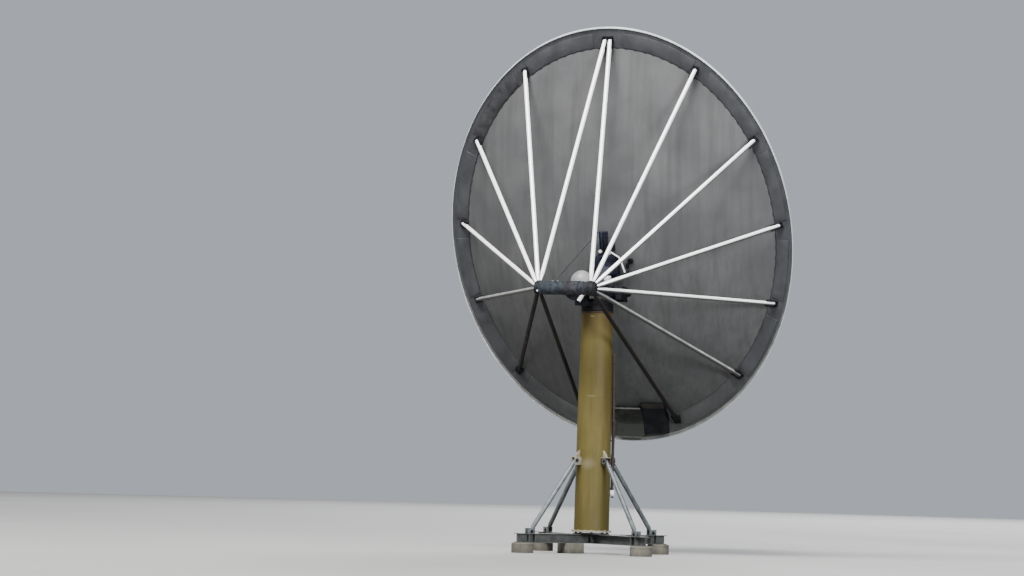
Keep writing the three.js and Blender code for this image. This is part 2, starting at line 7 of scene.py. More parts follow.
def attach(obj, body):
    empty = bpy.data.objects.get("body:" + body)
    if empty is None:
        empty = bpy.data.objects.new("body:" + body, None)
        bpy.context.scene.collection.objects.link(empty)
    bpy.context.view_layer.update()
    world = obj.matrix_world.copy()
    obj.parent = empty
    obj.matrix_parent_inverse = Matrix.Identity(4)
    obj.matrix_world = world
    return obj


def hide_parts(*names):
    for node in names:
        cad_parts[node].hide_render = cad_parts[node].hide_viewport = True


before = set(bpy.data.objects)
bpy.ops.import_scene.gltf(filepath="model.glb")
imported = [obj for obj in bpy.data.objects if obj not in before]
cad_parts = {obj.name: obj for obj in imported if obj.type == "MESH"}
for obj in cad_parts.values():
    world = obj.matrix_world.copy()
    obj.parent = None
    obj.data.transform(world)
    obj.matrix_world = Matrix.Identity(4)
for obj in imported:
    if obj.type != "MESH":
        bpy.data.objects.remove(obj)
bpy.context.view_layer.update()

# Driving sizes
MAST_Y = 1.720
GAP = 0.0003
RIM_LONG = 3.5
RIM_WIDE = 3.05
SKIN_RADIUS = 2.745
RIM_SHEET = 0.008
RIM_LIP = 0.026
RIM_SIDES = 144
DISH_SHEET = 0.010
FOCAL_LENGTH = 2.440
RIM_TILT = math.radians(13.6)
SLANT = math.acos(RIM_WIDE / RIM_LONG)
BEAM_TILT = RIM_TILT + SLANT
RIM_CENTRE = Vector((0, MAST_Y - 0.927, 5.294))
AXIS = Vector((0, MAST_Y, 4.310))
TUBE = Vector((0, MAST_Y + 1.448, 4.307))
TUBE_RADIUS = 0.108
TUBE_REACH = 0.3227
NODE_X = 0.452
HUB_RADIUS = 0.112
HUB_END = 0.545
LEFT_HUB_CUT = 0.036
HUB_SHADOW_SPOT = Vector((0.470, 0, 0.118))
STRUT_ANGLES = (0.8, 32.2, 60.7, 86.7, 110.0, 135.6, 163.0)
STRUT_RADIUS = 0.035
STRUT_INSET = 0.180
SECONDARY_RADIUS = 1.200
SPHERE_RADIUS = 1.750
CONE_TILT = math.radians(48.4)
STAY_ANGLE = 71
DRIVE = Vector((0.085, MAST_Y + 0.506, 0))
DOME_RADIUS = 0.180
PIPE_RADIUS = 0.013

# Sizes of the mast and its base
PLATE_LEVEL = 0.320
FOOT_LEVEL = 0.353
MAST_LOW = 0.381
MAST_BEND = 2.100
MAST_HIGH = 3.955
HEAD_LEVEL = 3.985
YOKE_LEVEL = 4.185
DOME_LEVEL = 4.440
FOOT_RADIUS = 0.290
BEND_RADIUS = 0.284
NECK_RADIUS = 0.258
PIER_TOP = 0.165
PIER_REACH = 1.380
LEG_ANGLE = 58.1
LEG_NAMES = ("rear_left", "rear_right", "front_right", "front_left")
BRACE_TOP = Vector((0.370, 0, 1.523))
BRACE_FOOT = Vector((1.235, 0, 0.350))
CONDUIT_ANGLE = 205
CONDUIT_X = 0.318

SHARP_ANGLE = math.radians(40)
SMOOTH_ANGLE = math.radians(35)
SIDE_NAMES = {1: "left", -1: "right"}
SIDEWAYS = Vector((1, 0, 0))
REARWARD = Vector((0, 1, 0))
UPRIGHT = Vector((0, 0, 1))
NORMAL = Vector((0, -math.cos(RIM_TILT), math.sin(RIM_TILT)))
UPWARD = Vector((0, math.sin(RIM_TILT), math.cos(RIM_TILT)))
SIGHT = Vector((0, -math.cos(BEAM_TILT), math.sin(BEAM_TILT)))
ACROSS = Vector((0, math.sin(BEAM_TILT), math.cos(BEAM_TILT)))


# Places

def moved(x=0.0, y=0.0, z=0.0):
    return Matrix.Translation((x, y, z))


def swung(degrees, axis="Z"):
    return Matrix.Rotation(math.radians(degrees), 4, axis)


def frame_at(x_axis, y_axis, z_axis, spot):
    place = Matrix((x_axis, y_axis, z_axis)).transposed().to_4x4()
    place.translation = spot
    return place


def along(start, direction):
    turn = direction.to_track_quat("Z", "Y")
    return moved(*start) @ turn.to_matrix().to_4x4()


def lying_at(spot):
    """At a spot, with x to the rear, y up and z to the dish's left."""
    return frame_at(REARWARD, UPRIGHT, SIDEWAYS, spot)


def rim_plane_at(spot):
    """At a spot, with x to the dish's right, y up the rim's plane and z out of its back."""
    return frame_at(-SIDEWAYS, UPWARD, -NORMAL, spot)


def leg_place(number):
    return MAST @ swung(LEG_ANGLE + 90 * number)


def rim_point(degrees, side, inset):
    turn = math.radians(degrees)
    up = (RIM_LONG - inset) * math.cos(turn)
    out = side * (RIM_WIDE - inset) * math.sin(turn)
    return RIM_CENTRE + UPWARD * up + SIDEWAYS * out


def node_point(side):
    return TUBE + SIDEWAYS * side * NODE_X


def skin_depth(radius):
    return (SKIN_RADIUS ** 2 - radius ** 2) / (4 * FOCAL_LENGTH) - RIM_SHEET


def optic(height, distance):
    """A point by its height across the beam and its distance toward the sky."""
    return RIM_CENTRE + ACROSS * (height - APERTURE_CENTRE) + SIGHT * (distance - RIM_DISTANCE)


def share_between(value, start, end, first, last):
    """A size that runs from first to last while the value runs from start to end."""
    return first + (last - first) * (value - start) / (end - start)


def mast_radius(height):
    """The mast narrows a little up to its bend and faster above it."""
    if height < MAST_BEND:
        return share_between(height, MAST_LOW + GAP, MAST_BEND, FOOT_RADIUS, BEND_RADIUS)
    return share_between(height, MAST_BEND, MAST_HIGH - GAP, BEND_RADIUS, NECK_RADIUS)


MAST = moved(0, MAST_Y)
ON_EDGE = lying_at(Vector((0, 0, 0)))
BOWL = frame_at(-SIDEWAYS, UPWARD / math.cos(SLANT), -SIGHT, RIM_CENTRE)
BACK_CENTRE = RIM_CENTRE - SIGHT * (skin_depth(0) + DISH_SHEET)
BACK_PLACE = rim_plane_at(BACK_CENTRE)
APERTURE_CENTRE = 2 * FOCAL_LENGTH * math.tan(SLANT)
RIM_DISTANCE = (APERTURE_CENTRE ** 2 + SKIN_RADIUS ** 2) / (4 * FOCAL_LENGTH)
CHORD_HEIGHT = math.sqrt(SPHERE_RADIUS ** 2 - SECONDARY_RADIUS ** 2)
CAP_AXIS = SIGHT * math.cos(CONE_TILT) - ACROSS * math.sin(CONE_TILT)
CHORD_CENTRE = optic(0, FOCAL_LENGTH) + CAP_AXIS * (SECONDARY_RADIUS / math.tan(CONE_TILT))
SECONDARY = frame_at(SIDEWAYS, CAP_AXIS.cross(SIDEWAYS), CAP_AXIS,
                     CHORD_CENTRE - CAP_AXIS * CHORD_HEIGHT)


# Shop tools

def deselect():
    bpy.ops.object.select_all(action="DESELECT")


def pick(*pieces):
    deselect()
    for piece in pieces:
        piece.select_set(True)
    bpy.context.view_layer.objects.active = pieces[0]


def settled(name):
    """Names the primitive just added and puts its place and size into its mesh."""
    piece = bpy.context.object
    piece.name = name
    bpy.ops.object.transform_apply(location=True, rotation=True, scale=True)
    return piece


def open_up():
    """Enters edit mode with everything selected."""
    bpy.ops.object.mode_set(mode="EDIT")
    bpy.ops.mesh.select_all(action="SELECT")


def close_up():
    """Merges what lies on one spot, turns the faces outwards and leaves edit mode."""
    bpy.ops.mesh.select_all(action="SELECT")
    bpy.ops.mesh.remove_doubles(threshold=0.00001)
    bpy.ops.mesh.normals_make_consistent(inside=False)
    bpy.ops.object.mode_set(mode="OBJECT")


def extruded(rise):
    bpy.ops.mesh.extrude_region_move(TRANSFORM_OT_translate={"value": (0, 0, rise)})


def turned(name, stations, sides, ring=False):
    """Turns (height, radius) stations about +Z. A ring ends where it starts."""
    deselect()
    height, radius = stations[0]
    bpy.ops.mesh.primitive_circle_add(vertices=sides, radius=radius, location=(0, 0, height),
                                      fill_type="NOTHING" if ring else "NGON")
    piece = settled(name)
    open_up()
    for next_height, next_radius in stations[1:] + stations[:1] if ring else stations[1:]:
        extruded(next_height - height)
        share = next_radius / radius
        bpy.ops.transform.resize(value=(share, share, 1), center_override=(0, 0, next_height))
        height, radius = next_height, next_radius
    close_up()
    return piece


def block(name, low, high, edge=0.0, segments=2):
    """A box between two corners. An edge width chamfers it."""
    deselect()
    low, high = Vector(low), Vector(high)
    bpy.ops.mesh.primitive_cube_add(size=1, location=(low + high) / 2, scale=high - low)
    piece = settled(name)
    return chamfered(piece, edge, segments) if edge else piece


def chamfered(piece, width, segments=2):
    bevel = piece.modifiers.new("edge", "BEVEL")
    bevel.width = width
    bevel.segments = segments
    bevel.limit_method = "ANGLE"
    bevel.angle_limit = SHARP_ANGLE
    pick(piece)
    bpy.ops.object.modifier_apply(modifier="edge")
    return piece


def placed(piece, place):
    piece.data.transform(place)
    return piece


def copied(piece, place):
    twin = piece.copy()
    twin.data = piece.data.copy()
    twin.data.transform(place)
    bpy.context.scene.collection.objects.link(twin)
    return twin


def joined(name, pieces):
    pick(*pieces)
    if len(pieces) > 1:
        bpy.ops.object.join()
    piece = bpy.context.object
    piece.name = name
    return piece


def painted(piece, finish):
    piece.data.materials.clear()
    piece.data.materials.append(finish)
    return piece


def two_faced(piece, rear_finish, front_finish):
    """Paints a sheet, with a finish of its own on the faces that look down along z."""
    painted(piece, rear_finish)
    piece.data.materials.append(front_finish)
    for face in piece.data.polygons:
        if face.normal.z < -0.1:
            face.material_index = 1
    return piece


def cut(piece, spot, direction):
    """Saws off what lies past a spot in a direction and closes the end."""
    pick(piece)
    open_up()
    bpy.ops.mesh.bisect(plane_co=spot, plane_no=direction, use_fill=True, clear_outer=True)
    bpy.ops.object.mode_set(mode="OBJECT")
    return piece


def prism(name, outline, low, high):
    """Draws an outline of (x, y) points and pulls it up from z = low to z = high."""
    deselect()
    x, y = outline[0]
    bpy.ops.mesh.primitive_plane_add(size=0.01, location=(x, y, low))
    piece = settled(name)
    open_up()
    bpy.ops.mesh.merge(type="CENTER")
    for next_x, next_y in outline[1:]:
        step = (next_x - x, next_y - y, 0)
        bpy.ops.mesh.extrude_vertices_move(TRANSFORM_OT_translate={"value": step})
        x, y = next_x, next_y
    bpy.ops.mesh.select_all(action="SELECT")
    bpy.ops.mesh.edge_face_add()
    extruded(high - low)
    close_up()
    return piece


def spun(piece, degrees, steps, axis):
    """Sweeps a flat face about an axis through the origin."""
    open_up()
    bpy.ops.mesh.spin(steps=steps, angle=math.radians(degrees), center=(0, 0, 0), axis=axis)
    close_up()
    return piece


def bent_pipe(name, radius, bend, degrees, sides):
    """A round pipe bent about +Y, which starts at x = bend."""
    deselect()
    bpy.ops.mesh.primitive_circle_add(vertices=sides, radius=radius, fill_type="NGON",
                                      location=(bend, 0, 0))
    return spun(settled(name), degrees, 14, (0, 1, 0))


def curved_strip(name, inner, outer, low, high, degrees):
    """A flat strip bent about +Z, which starts at y = 0."""
    deselect()
    bpy.ops.mesh.primitive_plane_add(size=1, location=((inner + outer) / 2, 0, (low + high) / 2),
                                     rotation=(math.pi / 2, 0, 0))
    bpy.context.object.scale = (outer - inner, high - low, 1)
    return spun(settled(name), degrees, max(2, round(degrees / 2)), (0, 0, 1))


def spread(name, pattern, places):
    """Copies one pattern to each place, joins the copies and drops the pattern."""
    copies = [copied(pattern, place) for place in places]
    bpy.data.objects.remove(pattern)
    return joined(name, copies)


def grid_places(across, up, height):
    return [moved(x, y, height) for x in across for y in up]


def round_places(count, radius=0.0, place=Matrix(), first=0.0):
    return [place @ swung(first + 360 * k / count) @ moved(radius)
            for k in range(count)]


def outward_places(count, radius, height, first=0.0):
    """Places round +Z at a height, each with its own z away from the axis."""
    lift = moved(z=height)
    return [place @ swung(90, "Y") for place in round_places(count, radius, lift, first)]


def ribs(count, inner, outer, low, high, half=0.005, first=0.0):
    """Upright ribs round +Z, or with a small half thickness the fins of a motor."""
    rib = block("rib", (inner, -half, low), (outer, half, high))
    return spread("ribs", rib, round_places(count, first=first))


def bolt(radius, height, washer=True):
    """A hexagon bolt head on a washer, standing on z = 0."""
    head = turned("bolt_head", [(0, radius), (height * 0.85, radius), (height, radius * 0.86)], 6)
    if not washer:
        return head
    disc = turned("bolt_washer", [(0, radius * 1.35), (height * 0.2, radius * 1.35)], 12)
    return joined("bolt", [head, disc])


def finished(piece, body, slot, *nodes):
    """Smooths a piece, rides it on its body and shows it in place of its CAD nodes."""
    pick(piece)
    bpy.ops.object.shade_smooth_by_angle(angle=SMOOTH_ANGLE)
    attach(piece, body)
    if nodes:
        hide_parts(*nodes)


def coated(finish, *nodes):
    """Gives CAD nodes that stay in view their finish."""
    for node in nodes:
        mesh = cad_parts[node].data
        mesh.materials.clear()
        mesh.materials.append(finish)


# Finishes

def plug(tree, socket, value):
    """Links a (node, output) pair to a socket, or sets a plain value on it."""
    if isinstance(value, tuple) and isinstance(value[0], bpy.types.Node):
        tree.links.new(value[0].outputs[value[1]], socket)
    else:
        socket.default_value = value


def linked_node(tree, kind, **inputs):
    """Adds a node. A name such as _1 is an input's number."""
    node = tree.nodes.new(kind)
    for name, value in inputs.items():
        plug(tree, node.inputs[int(name[1:]) if name[0] == "_" else name], value)
    return node


def noise(tree, where, scale, detail, rough=0.55):
    node = linked_node(tree, "ShaderNodeTexNoise", Vector=where, Scale=scale,
                       Detail=detail, Roughness=rough)
    return (node, "Fac")


def ramp(tree, source, *stops):
    node = linked_node(tree, "ShaderNodeValToRGB", Fac=source)
    for element, (position, colour) in zip(node.color_ramp.elements, stops):
        element.position = position
        element.color = (*colour, 1)
    return (node, "Color")


def blended(tree, mask, colour, paint):
    """Lays a paint over a colour as far as a mask says."""
    node = tree.nodes.new("ShaderNodeMix")
    node.data_type = "RGBA"
    for index, value in ((0, mask), (6, colour), (7, (*paint, 1))):
        plug(tree, node.inputs[index], value)
    return (node, 2)


def stretched(tree, scale, turn=(0, 0, 0)):
    """Object coordinates, turned and scaled, for patterns that run one way."""
    where = linked_node(tree, "ShaderNodeTexCoord")
    node = linked_node(tree, "ShaderNodeMapping", Vector=(where, "Object"), Scale=scale,
                       Rotation=turn)
    return (node, "Vector")


def grey(level):
    return (level, level, level)


def ranged(tree, source, start, end, last, first=0.0):
    """Maps what runs from start to end onto first to last."""
    node = linked_node(tree, "ShaderNodeMapRange", Value=source)
    for socket, value in (("From Min", start), ("From Max", end), ("To Min", first),
                          ("To Max", last)):
        node.inputs[socket].default_value = value
    return (node, "Result")


def height_mask(tree, untinted_at, tinted_at, share):
    """Rises from 0 at one height to a share at another, with a ragged edge."""
    where = linked_node(tree, "ShaderNodeTexCoord")
    height = linked_node(tree, "ShaderNodeSeparateXYZ", Vector=(where, "Object"))
    ragged = noise(tree, stretched(tree, (14, 14, 1.2)), 1.0, 4)
    shift = linked_node(tree, "ShaderNodeMath", _0=ragged, _1=0.5)
    shift.operation = "SUBTRACT"
    reach = linked_node(tree, "ShaderNodeMath", _0=(shift, "Value"),
                        _1=abs(untinted_at - tinted_at) * 1.4, _2=(height, "Z"))
    reach.operation = "MULTIPLY_ADD"
    return ranged(tree, (reach, "Value"), untinted_at, tinted_at, share)


def spot_mask(tree, centre, size, share):
    """One soft-edged oval spot round a point."""
    where = linked_node(tree, "ShaderNodeTexCoord")
    local = linked_node(tree, "ShaderNodeMapping", Vector=(where, "Object"), Location=centre,
                        Scale=size)
    local.vector_type = "TEXTURE"
    reach = linked_node(tree, "ShaderNodeVectorMath", _0=(local, "Vector"))
    reach.operation = "LENGTH"
    return ranged(tree, (reach, "Value"), 1.0, 0.25, share)


def underside_shade_mask(tree, share):
    """Painted shade: rises from 0 on faces that look level to a share on faces that look down."""
    where = linked_node(tree, "ShaderNodeTexCoord")
    facing = linked_node(tree, "ShaderNodeSeparateXYZ", Vector=(where, "Normal"))
    return ranged(tree, (facing, "Z"), 0.12, -0.38, share)


def weathered(name, shade, light, rough, patch, metal=0.0, streak=None, streak_share=0.35,
              streak_scale=(9, 9, 0.7), speck=None, grain=220, bump=0.15, turn=(0, 0, 0),
              shine=0.3, dirt_and_shade_heights=(), spots=(), underside_shade=None):
    """A finish with cloudy patches, dirt that runs down, specks and a fine grain.

    A height band (untinted height, tinted height, share, colour) tints by height, for dirt and for
    painted shade; a spot (centre, size, share, colour) serves for marks, painted highlights and
    painted shadows; an underside shade (share, colour) is painted shade on faces that look down.
    """
    material = bpy.data.materials.new(name)
    material.use_nodes = True
    tree = material.node_tree
    where = stretched(tree, (1, 1, 1))
    clouds = noise(tree, where, patch, 6)
    layers = []
    if streak:
        runs = noise(tree, stretched(tree, streak_scale, turn), 1.0, 5, 0.6)
        layers.append((ramp(tree, runs, (0.48, grey(0.0)), (0.72, grey(streak_share))), streak))
    if speck:
        dots = noise(tree, where, patch * 22, 3, 0.7)
        layers.append((ramp(tree, dots, (0.62, grey(0.0)), (0.74, grey(0.6))), speck))
    layers += [(height_mask(tree, *height_band), paint) for *height_band, paint in dirt_and_shade_heights]
    layers += [(spot_mask(tree, *spot), paint) for *spot, paint in spots]
    if underside_shade:
        share, shade_colour = underside_shade
        layers.append((underside_shade_mask(tree, share), shade_colour))
    colour = ramp(tree, clouds, (0.34, shade), (0.66, light))
    for mask, paint in layers:
        colour = blended(tree, mask, colour, paint)
    gloss = ranged(tree, clouds, 0.3, 0.7, min(1.0, rough + 0.1), rough - 0.08)
    relief = linked_node(tree, "ShaderNodeBump", Strength=bump, Distance=0.002,
                         Height=noise(tree, where, grain, 3, 0.6))
    shader = tree.nodes["Principled BSDF"]
    for socket, value in (("Base Color", colour), ("Roughness", gloss), ("Metallic", metal),
                          ("Specular IOR Level", shine), ("Normal", (relief, "Normal"))):
        plug(tree, shader.inputs[socket], value)
    return material


RIM_TURN = (-RIM_TILT, 0, 0)
# The mast's spots at 3.9 m and 2.59 m are painted highlights on its lit face; the others are a pale
# marking patch and a dark spot near the foot.
OCHRE = weathered(
    "ochre_paint", (0.07, 0.0542, 0.0132), (0.095, 0.0766, 0.0212), 0.6, patch=1.6, shine=0.2,
    streak=(0.0306, 0.0204, 0.0095), streak_share=0.4, speck=(0.0476, 0.0306, 0.0136),
    dirt_and_shade_heights=[(3.52, 3.95, 0.7, (0.06, 0.037, 0.012)),
           (2.1, 0.6, 0.85, (0.049, 0.0395, 0.0078))],
    spots=[((-0.009, 2.008, 1.48), (0.17, 0.17, 0.115), 0.6, (0.119, 0.1054, 0.0646)),
           ((-0.017, 1.978, 3.9), (0.06, 0.05, 0.011), 0.9, (0.19, 0.165, 0.105)),
           ((-0.043, 1.992, 2.588), (0.12, 0.06, 0.011), 0.7, (0.17, 0.15, 0.09)),
           ((0.1, 2.00, 0.455), (0.025, 0.025, 0.02), 0.9, (0.0204, 0.0102, 0.0054))])
GALVANISED = weathered(
    "galvanised_steel", (0.0612, 0.0691, 0.072), (0.1188, 0.131, 0.1354), 0.48, metal=0.3, patch=9,
    speck=(0.0792, 0.0828, 0.0864), grain=90,
    dirt_and_shade_heights=[(0.345, 0.325, 0.55, (0.046, 0.043, 0.035))])
TUBE_COAT = weathered(
    "mottled_tube", (0.008, 0.0103, 0.0141), (0.0305, 0.036, 0.043), 0.78, patch=16,
    speck=(0.09, 0.096, 0.105), grain=90, shine=0.06)
# Painted shade: the faces of the struts that look down are darkened.
STRUT = weathered(
    "satin_strut", (0.86, 0.87, 0.88), grey(0.96), 0.24, metal=0.15, patch=5,
    speck=grey(0.72), shine=0.5, underside_shade=(0.97, (0.03, 0.029, 0.027)))
# Darker copies of the strut finish for the low struts: painted shade, with more painted shade on
# their undersides.
HALF_SHADED_STRUT = weathered(
    "half_shaded_strut", (0.165, 0.165, 0.161), (0.29, 0.29, 0.284), 0.5, patch=7,
    speck=(0.3, 0.3, 0.29), underside_shade=(0.92, (0.012, 0.011, 0.009)))
DEEP_SHADED_STRUT = weathered(
    "deep_shaded_strut", (0.012, 0.0105, 0.0082), (0.034, 0.029, 0.0225), 0.6, patch=7,
    speck=(0.05, 0.044, 0.035), shine=0.12, underside_shade=(0.85, (0.004, 0.0036, 0.003)))
# Darker towards the bottom: the dish skin's height band is painted shade on the lower skin.
SKIN = weathered(
    "dish_skin", (0.05, 0.0508, 0.053), (0.071, 0.0718, 0.0735), 0.62, patch=1.3,
    streak=(0.03, 0.03, 0.029), streak_share=0.45, streak_scale=(7, 2, 0.35), turn=RIM_TURN,
    speck=(0.08, 0.08, 0.079), grain=160,
    dirt_and_shade_heights=[(5.4, 1.6, 0.62, (0.0245, 0.0252, 0.0232))])
RIM = weathered(
    "rim_flange", (0.0225, 0.0235, 0.0265), (0.0375, 0.039, 0.043), 0.6, patch=3.5,
    streak=(0.0136, 0.0136, 0.015), streak_share=0.35, speck=(0.056, 0.057, 0.06),
    turn=RIM_TURN, dirt_and_shade_heights=[(3.2, 2.0, 0.55, (0.046, 0.048, 0.044))])
STIFFENER = weathered(
    "rim_stiffener", (0.01, 0.01, 0.012), (0.027, 0.027, 0.03), 0.65, patch=8,
    speck=(0.045, 0.045, 0.048))
WHITE_FACE = weathered(
    "white_face", (0.37, 0.38, 0.39), (0.47, 0.48, 0.49), 0.6, patch=1.1,
    streak=(0.24, 0.24, 0.23), streak_share=0.3, streak_scale=(7, 2, 0.35), turn=RIM_TURN,
    dirt_and_shade_heights=[(4.6, 1.9, 0.35, (0.26, 0.265, 0.25))])
PALE_FACE = weathered(
    "pale_face", (0.15, 0.154, 0.158), (0.205, 0.21, 0.214), 0.6, patch=1.6,
    streak=(0.1, 0.1, 0.095), streak_share=0.35)
BARE_EDGE = weathered(
    "bare_edge", (0.36, 0.37, 0.39), (0.52, 0.53, 0.55), 0.35, metal=0.2, patch=3,
    speck=grey(0.22), dirt_and_shade_heights=[(3.6, 2.2, 0.6, (0.105, 0.108, 0.096))])
EDGE_BEAD = weathered(
    "edge_bead", (0.08, 0.083, 0.078), (0.15, 0.153, 0.142), 0.55, patch=6,
    dirt_and_shade_heights=[(3.0, 4.6, 0.9, (0.03, 0.0315, 0.035))])
WORN_LEDGE = weathered("worn_ledge", (0.06, 0.061, 0.057), (0.112, 0.113, 0.105), 0.6, patch=9)
# Near black, lighter low down: painted shade for the shadow gap round the skin's edge.
EDGE_SHADE = weathered(
    "edge_shade_paint", (0.007, 0.007, 0.008), (0.021, 0.021, 0.022), 0.8, patch=12,
    dirt_and_shade_heights=[(4.9, 3.1, 0.92, (0.032, 0.0325, 0.03))])
# The two dark spots on top of the drums are painted shadow where the strut ends meet them.
HUB_STEEL = weathered(
    "hub_steel", (0.0062, 0.0066, 0.0078), (0.021, 0.0222, 0.0252), 0.7, patch=14,
    speck=(0.06, 0.062, 0.068), shine=0.06,
    spots=[(TUBE + HUB_SHADOW_SPOT, (0.1, 0.17, 0.045), 0.95, (0.0025, 0.0028, 0.0036)),
           (TUBE - HUB_SHADOW_SPOT + 2 * HUB_SHADOW_SPOT.z * UPRIGHT, (0.1, 0.17, 0.045), 0.95,
            (0.0025, 0.0028, 0.0036))])
SLEEVE_COAT = weathered(
    "sleeve_coat", (0.01, 0.01, 0.0124), (0.0345, 0.034, 0.04), 0.78, patch=15,
    speck=(0.095, 0.095, 0.105), grain=90, shine=0.06)
DARK = weathered(
    "dark_casting", (0.0028, 0.0034, 0.0044), (0.0085, 0.0092, 0.0115), 0.6, patch=6,
    speck=grey(0.019), shine=0.12)
BLUE_BLACK = weathered(
    "blue_black_cover", (0.004, 0.0045, 0.0095), (0.015, 0.0165, 0.029), 0.55, patch=9,
    speck=(0.034, 0.036, 0.052), shine=0.15)
WHITE = weathered(
    "white_cover", (0.185, 0.188, 0.192), (0.255, 0.258, 0.262), 0.38, patch=4,
    streak=(0.12, 0.114, 0.1), streak_share=0.3)
PALE_PIPE = weathered("pale_pipe", grey(0.558), grey(0.72), 0.35, patch=12)
CONCRETE = weathered(
    "cast_concrete", (0.064, 0.06, 0.048), (0.112, 0.106, 0.0885), 0.9, patch=5,
    streak=(0.05, 0.044, 0.034), speck=(0.053, 0.049, 0.04), grain=120, bump=0.5,
    dirt_and_shade_heights=[(0.09, -0.02, 0.6, (0.036, 0.03, 0.02))])
STEEL = weathered(
    "machined_steel", (0.0306, 0.032, 0.034), (0.0612, 0.0639, 0.068), 0.4, metal=0.4, patch=8,
    speck=(0.0238, 0.0204, 0.019))
BROWN = weathered(
    "stained_steel", (0.0204, 0.0109, 0.0082), (0.0422, 0.0245, 0.0177), 0.7, patch=8,
    streak=(0.0136, 0.0082, 0.0061), speck=(0.068, 0.049, 0.034))
BOX_LID = weathered(
    "box_lid", (0.0095, 0.0075, 0.0068), (0.0245, 0.019, 0.0163), 0.6, patch=9,
    speck=(0.0374, 0.0306, 0.0272))
BRACKET_TOP = weathered(
    "bracket_top", (0.136, 0.1156, 0.0816), (0.2244, 0.204, 0.1564), 0.6, patch=9,
    speck=(0.0612, 0.0408, 0.0272))
SHROUD = weathered(
    "shroud_cloth", (0.0041, 0.0041, 0.0048), (0.0095, 0.0088, 0.0088), 0.85, patch=3,
    streak=(0.0204, 0.019, 0.017), streak_share=0.2, grain=300)
BOX = weathered(
    "box_paint", (0.007, 0.0085, 0.007), (0.018, 0.0195, 0.0165), 0.5, patch=9,
    speck=(0.043, 0.047, 0.04), shine=0.15,
    dirt_and_shade_heights=[(2.25, 2.15, 0.75, (0.034, 0.037, 0.033)),
           (1.955, 1.925, 0.85, (0.095, 0.1, 0.088))])


# Tilting dish

def primary_skin():
    pole, steps = 0.02, 26
    radii = [pole + (SKIN_RADIUS - GAP - pole) * k / steps for k in range(steps + 1)]
    front = [(skin_depth(radius), radius) for radius in radii]
    back = [(skin_depth(radius) + DISH_SHEET, radius) for radius in reversed(radii)]
    skin = two_faced(turned("primary_skin", front + back, RIM_SIDES), SKIN, WHITE_FACE)
    finished(placed(skin, BOWL), "dish", "dish_sheet", "primary_reflector")


def flange_places(count, share):
    """Upright places round the flange, at a share of the rim's radius."""
    turns = [2 * math.pi * (k + 0.5) / count for k in range(count)]
    return [rim_plane_at(RIM_CENTRE + UPWARD * RIM_LONG * share * math.cos(turn)
                         + SIDEWAYS * RIM_WIDE * share * math.sin(turn)) for turn in turns]


def rim_flange():
    """The flat flange, its bright outer lip and a bead beside the lip."""
    inner, outer = SKIN_RADIUS, RIM_WIDE
    edge = outer - RIM_SHEET
    flat = two_faced(turned("flat", [
        (-RIM_SHEET, edge), (0, edge), (0, inner), (-RIM_SHEET, inner)],
        RIM_SIDES, ring=True), RIM, WHITE_FACE)
    lip = painted(turned("lip", [
        (-RIM_SHEET, outer), (RIM_LIP, outer), (RIM_LIP, edge), (-RIM_SHEET, edge)],
        RIM_SIDES, ring=True), BARE_EDGE)
    bead = painted(turned("bead", [
        (GAP, edge - 0.030), (0.006, edge - 0.026), (0.006, edge - 0.004), (GAP, edge - 0.001)],
        RIM_SIDES, ring=True), EDGE_BEAD)
    flange = placed(joined("rim_flange", [flat, lip, bead]), BOWL)
    finished(flange, "dish", "rim_sheet", "rim_ring")


def rim_stiffeners():
    """Raised strips on the flange from strut to strut. One on the left is darker."""
    clear_before, clear_after = 4.5, 1.4
    strips = []
    for side in (1, -1):
        for number, (low, high) in enumerate(zip(STRUT_ANGLES, STRUT_ANGLES[1:])):
            start, end = low + clear_before, high - clear_after
            strip = curved_strip("strip", SKIN_RADIUS + 0.016, RIM_WIDE - 0.085, 0, 0.012,
                                 end - start)
            chamfered(strip, 0.003)
            painted(strip, STIFFENER if side > 0 and number == 1 else RIM)
            strips.append(placed(strip, swung(90 + end if side > 0 else 90 - start)))
    finished(placed(joined("rim_stiffeners", strips), BOWL), "dish", "rim_sheet")


def edge_shadow_ring():
    """A dark ring, painted shade for the shadow gap where the skin meets the flange, and dark clips
    over it as dashes of that shadow.
    """
    seal = turned("edge_shadow_ring", [
        (-0.001, SKIN_RADIUS + 0.014), (0.003, SKIN_RADIUS + 0.012),
        (0.003, SKIN_RADIUS - 0.004), (-0.001, SKIN_RADIUS - 0.006)], RIM_SIDES, ring=True)
    finished(placed(painted(seal, EDGE_SHADE), BOWL), "dish", "rim_sheet")
    clips = spread("edge_clips", block("clip", (-0.014, -0.030, -0.004), (0.012, 0.030, 0.007)),
                   round_places(108, SKIN_RADIUS + 0.004, BOWL))
    finished(painted(clips, EDGE_SHADE), "dish", "rim_sheet")


def rim_screws():
    screws = spread("rim_screws", bolt(0.007, 0.006, washer=False), flange_places(112, 0.982))
    finished(painted(screws, STEEL), "dish", "steel")


def strut_finish(number, side):
    """The low struts get darker copies of the strut finish as painted shade, and the lowest ones
    the darkest.
    """
    if number == 7 or (number == 6 and side > 0):
        return DEEP_SHADED_STRUT
    if number == 6 or (number == 5 and side > 0):
        return HALF_SHADED_STRUT
    return STRUT


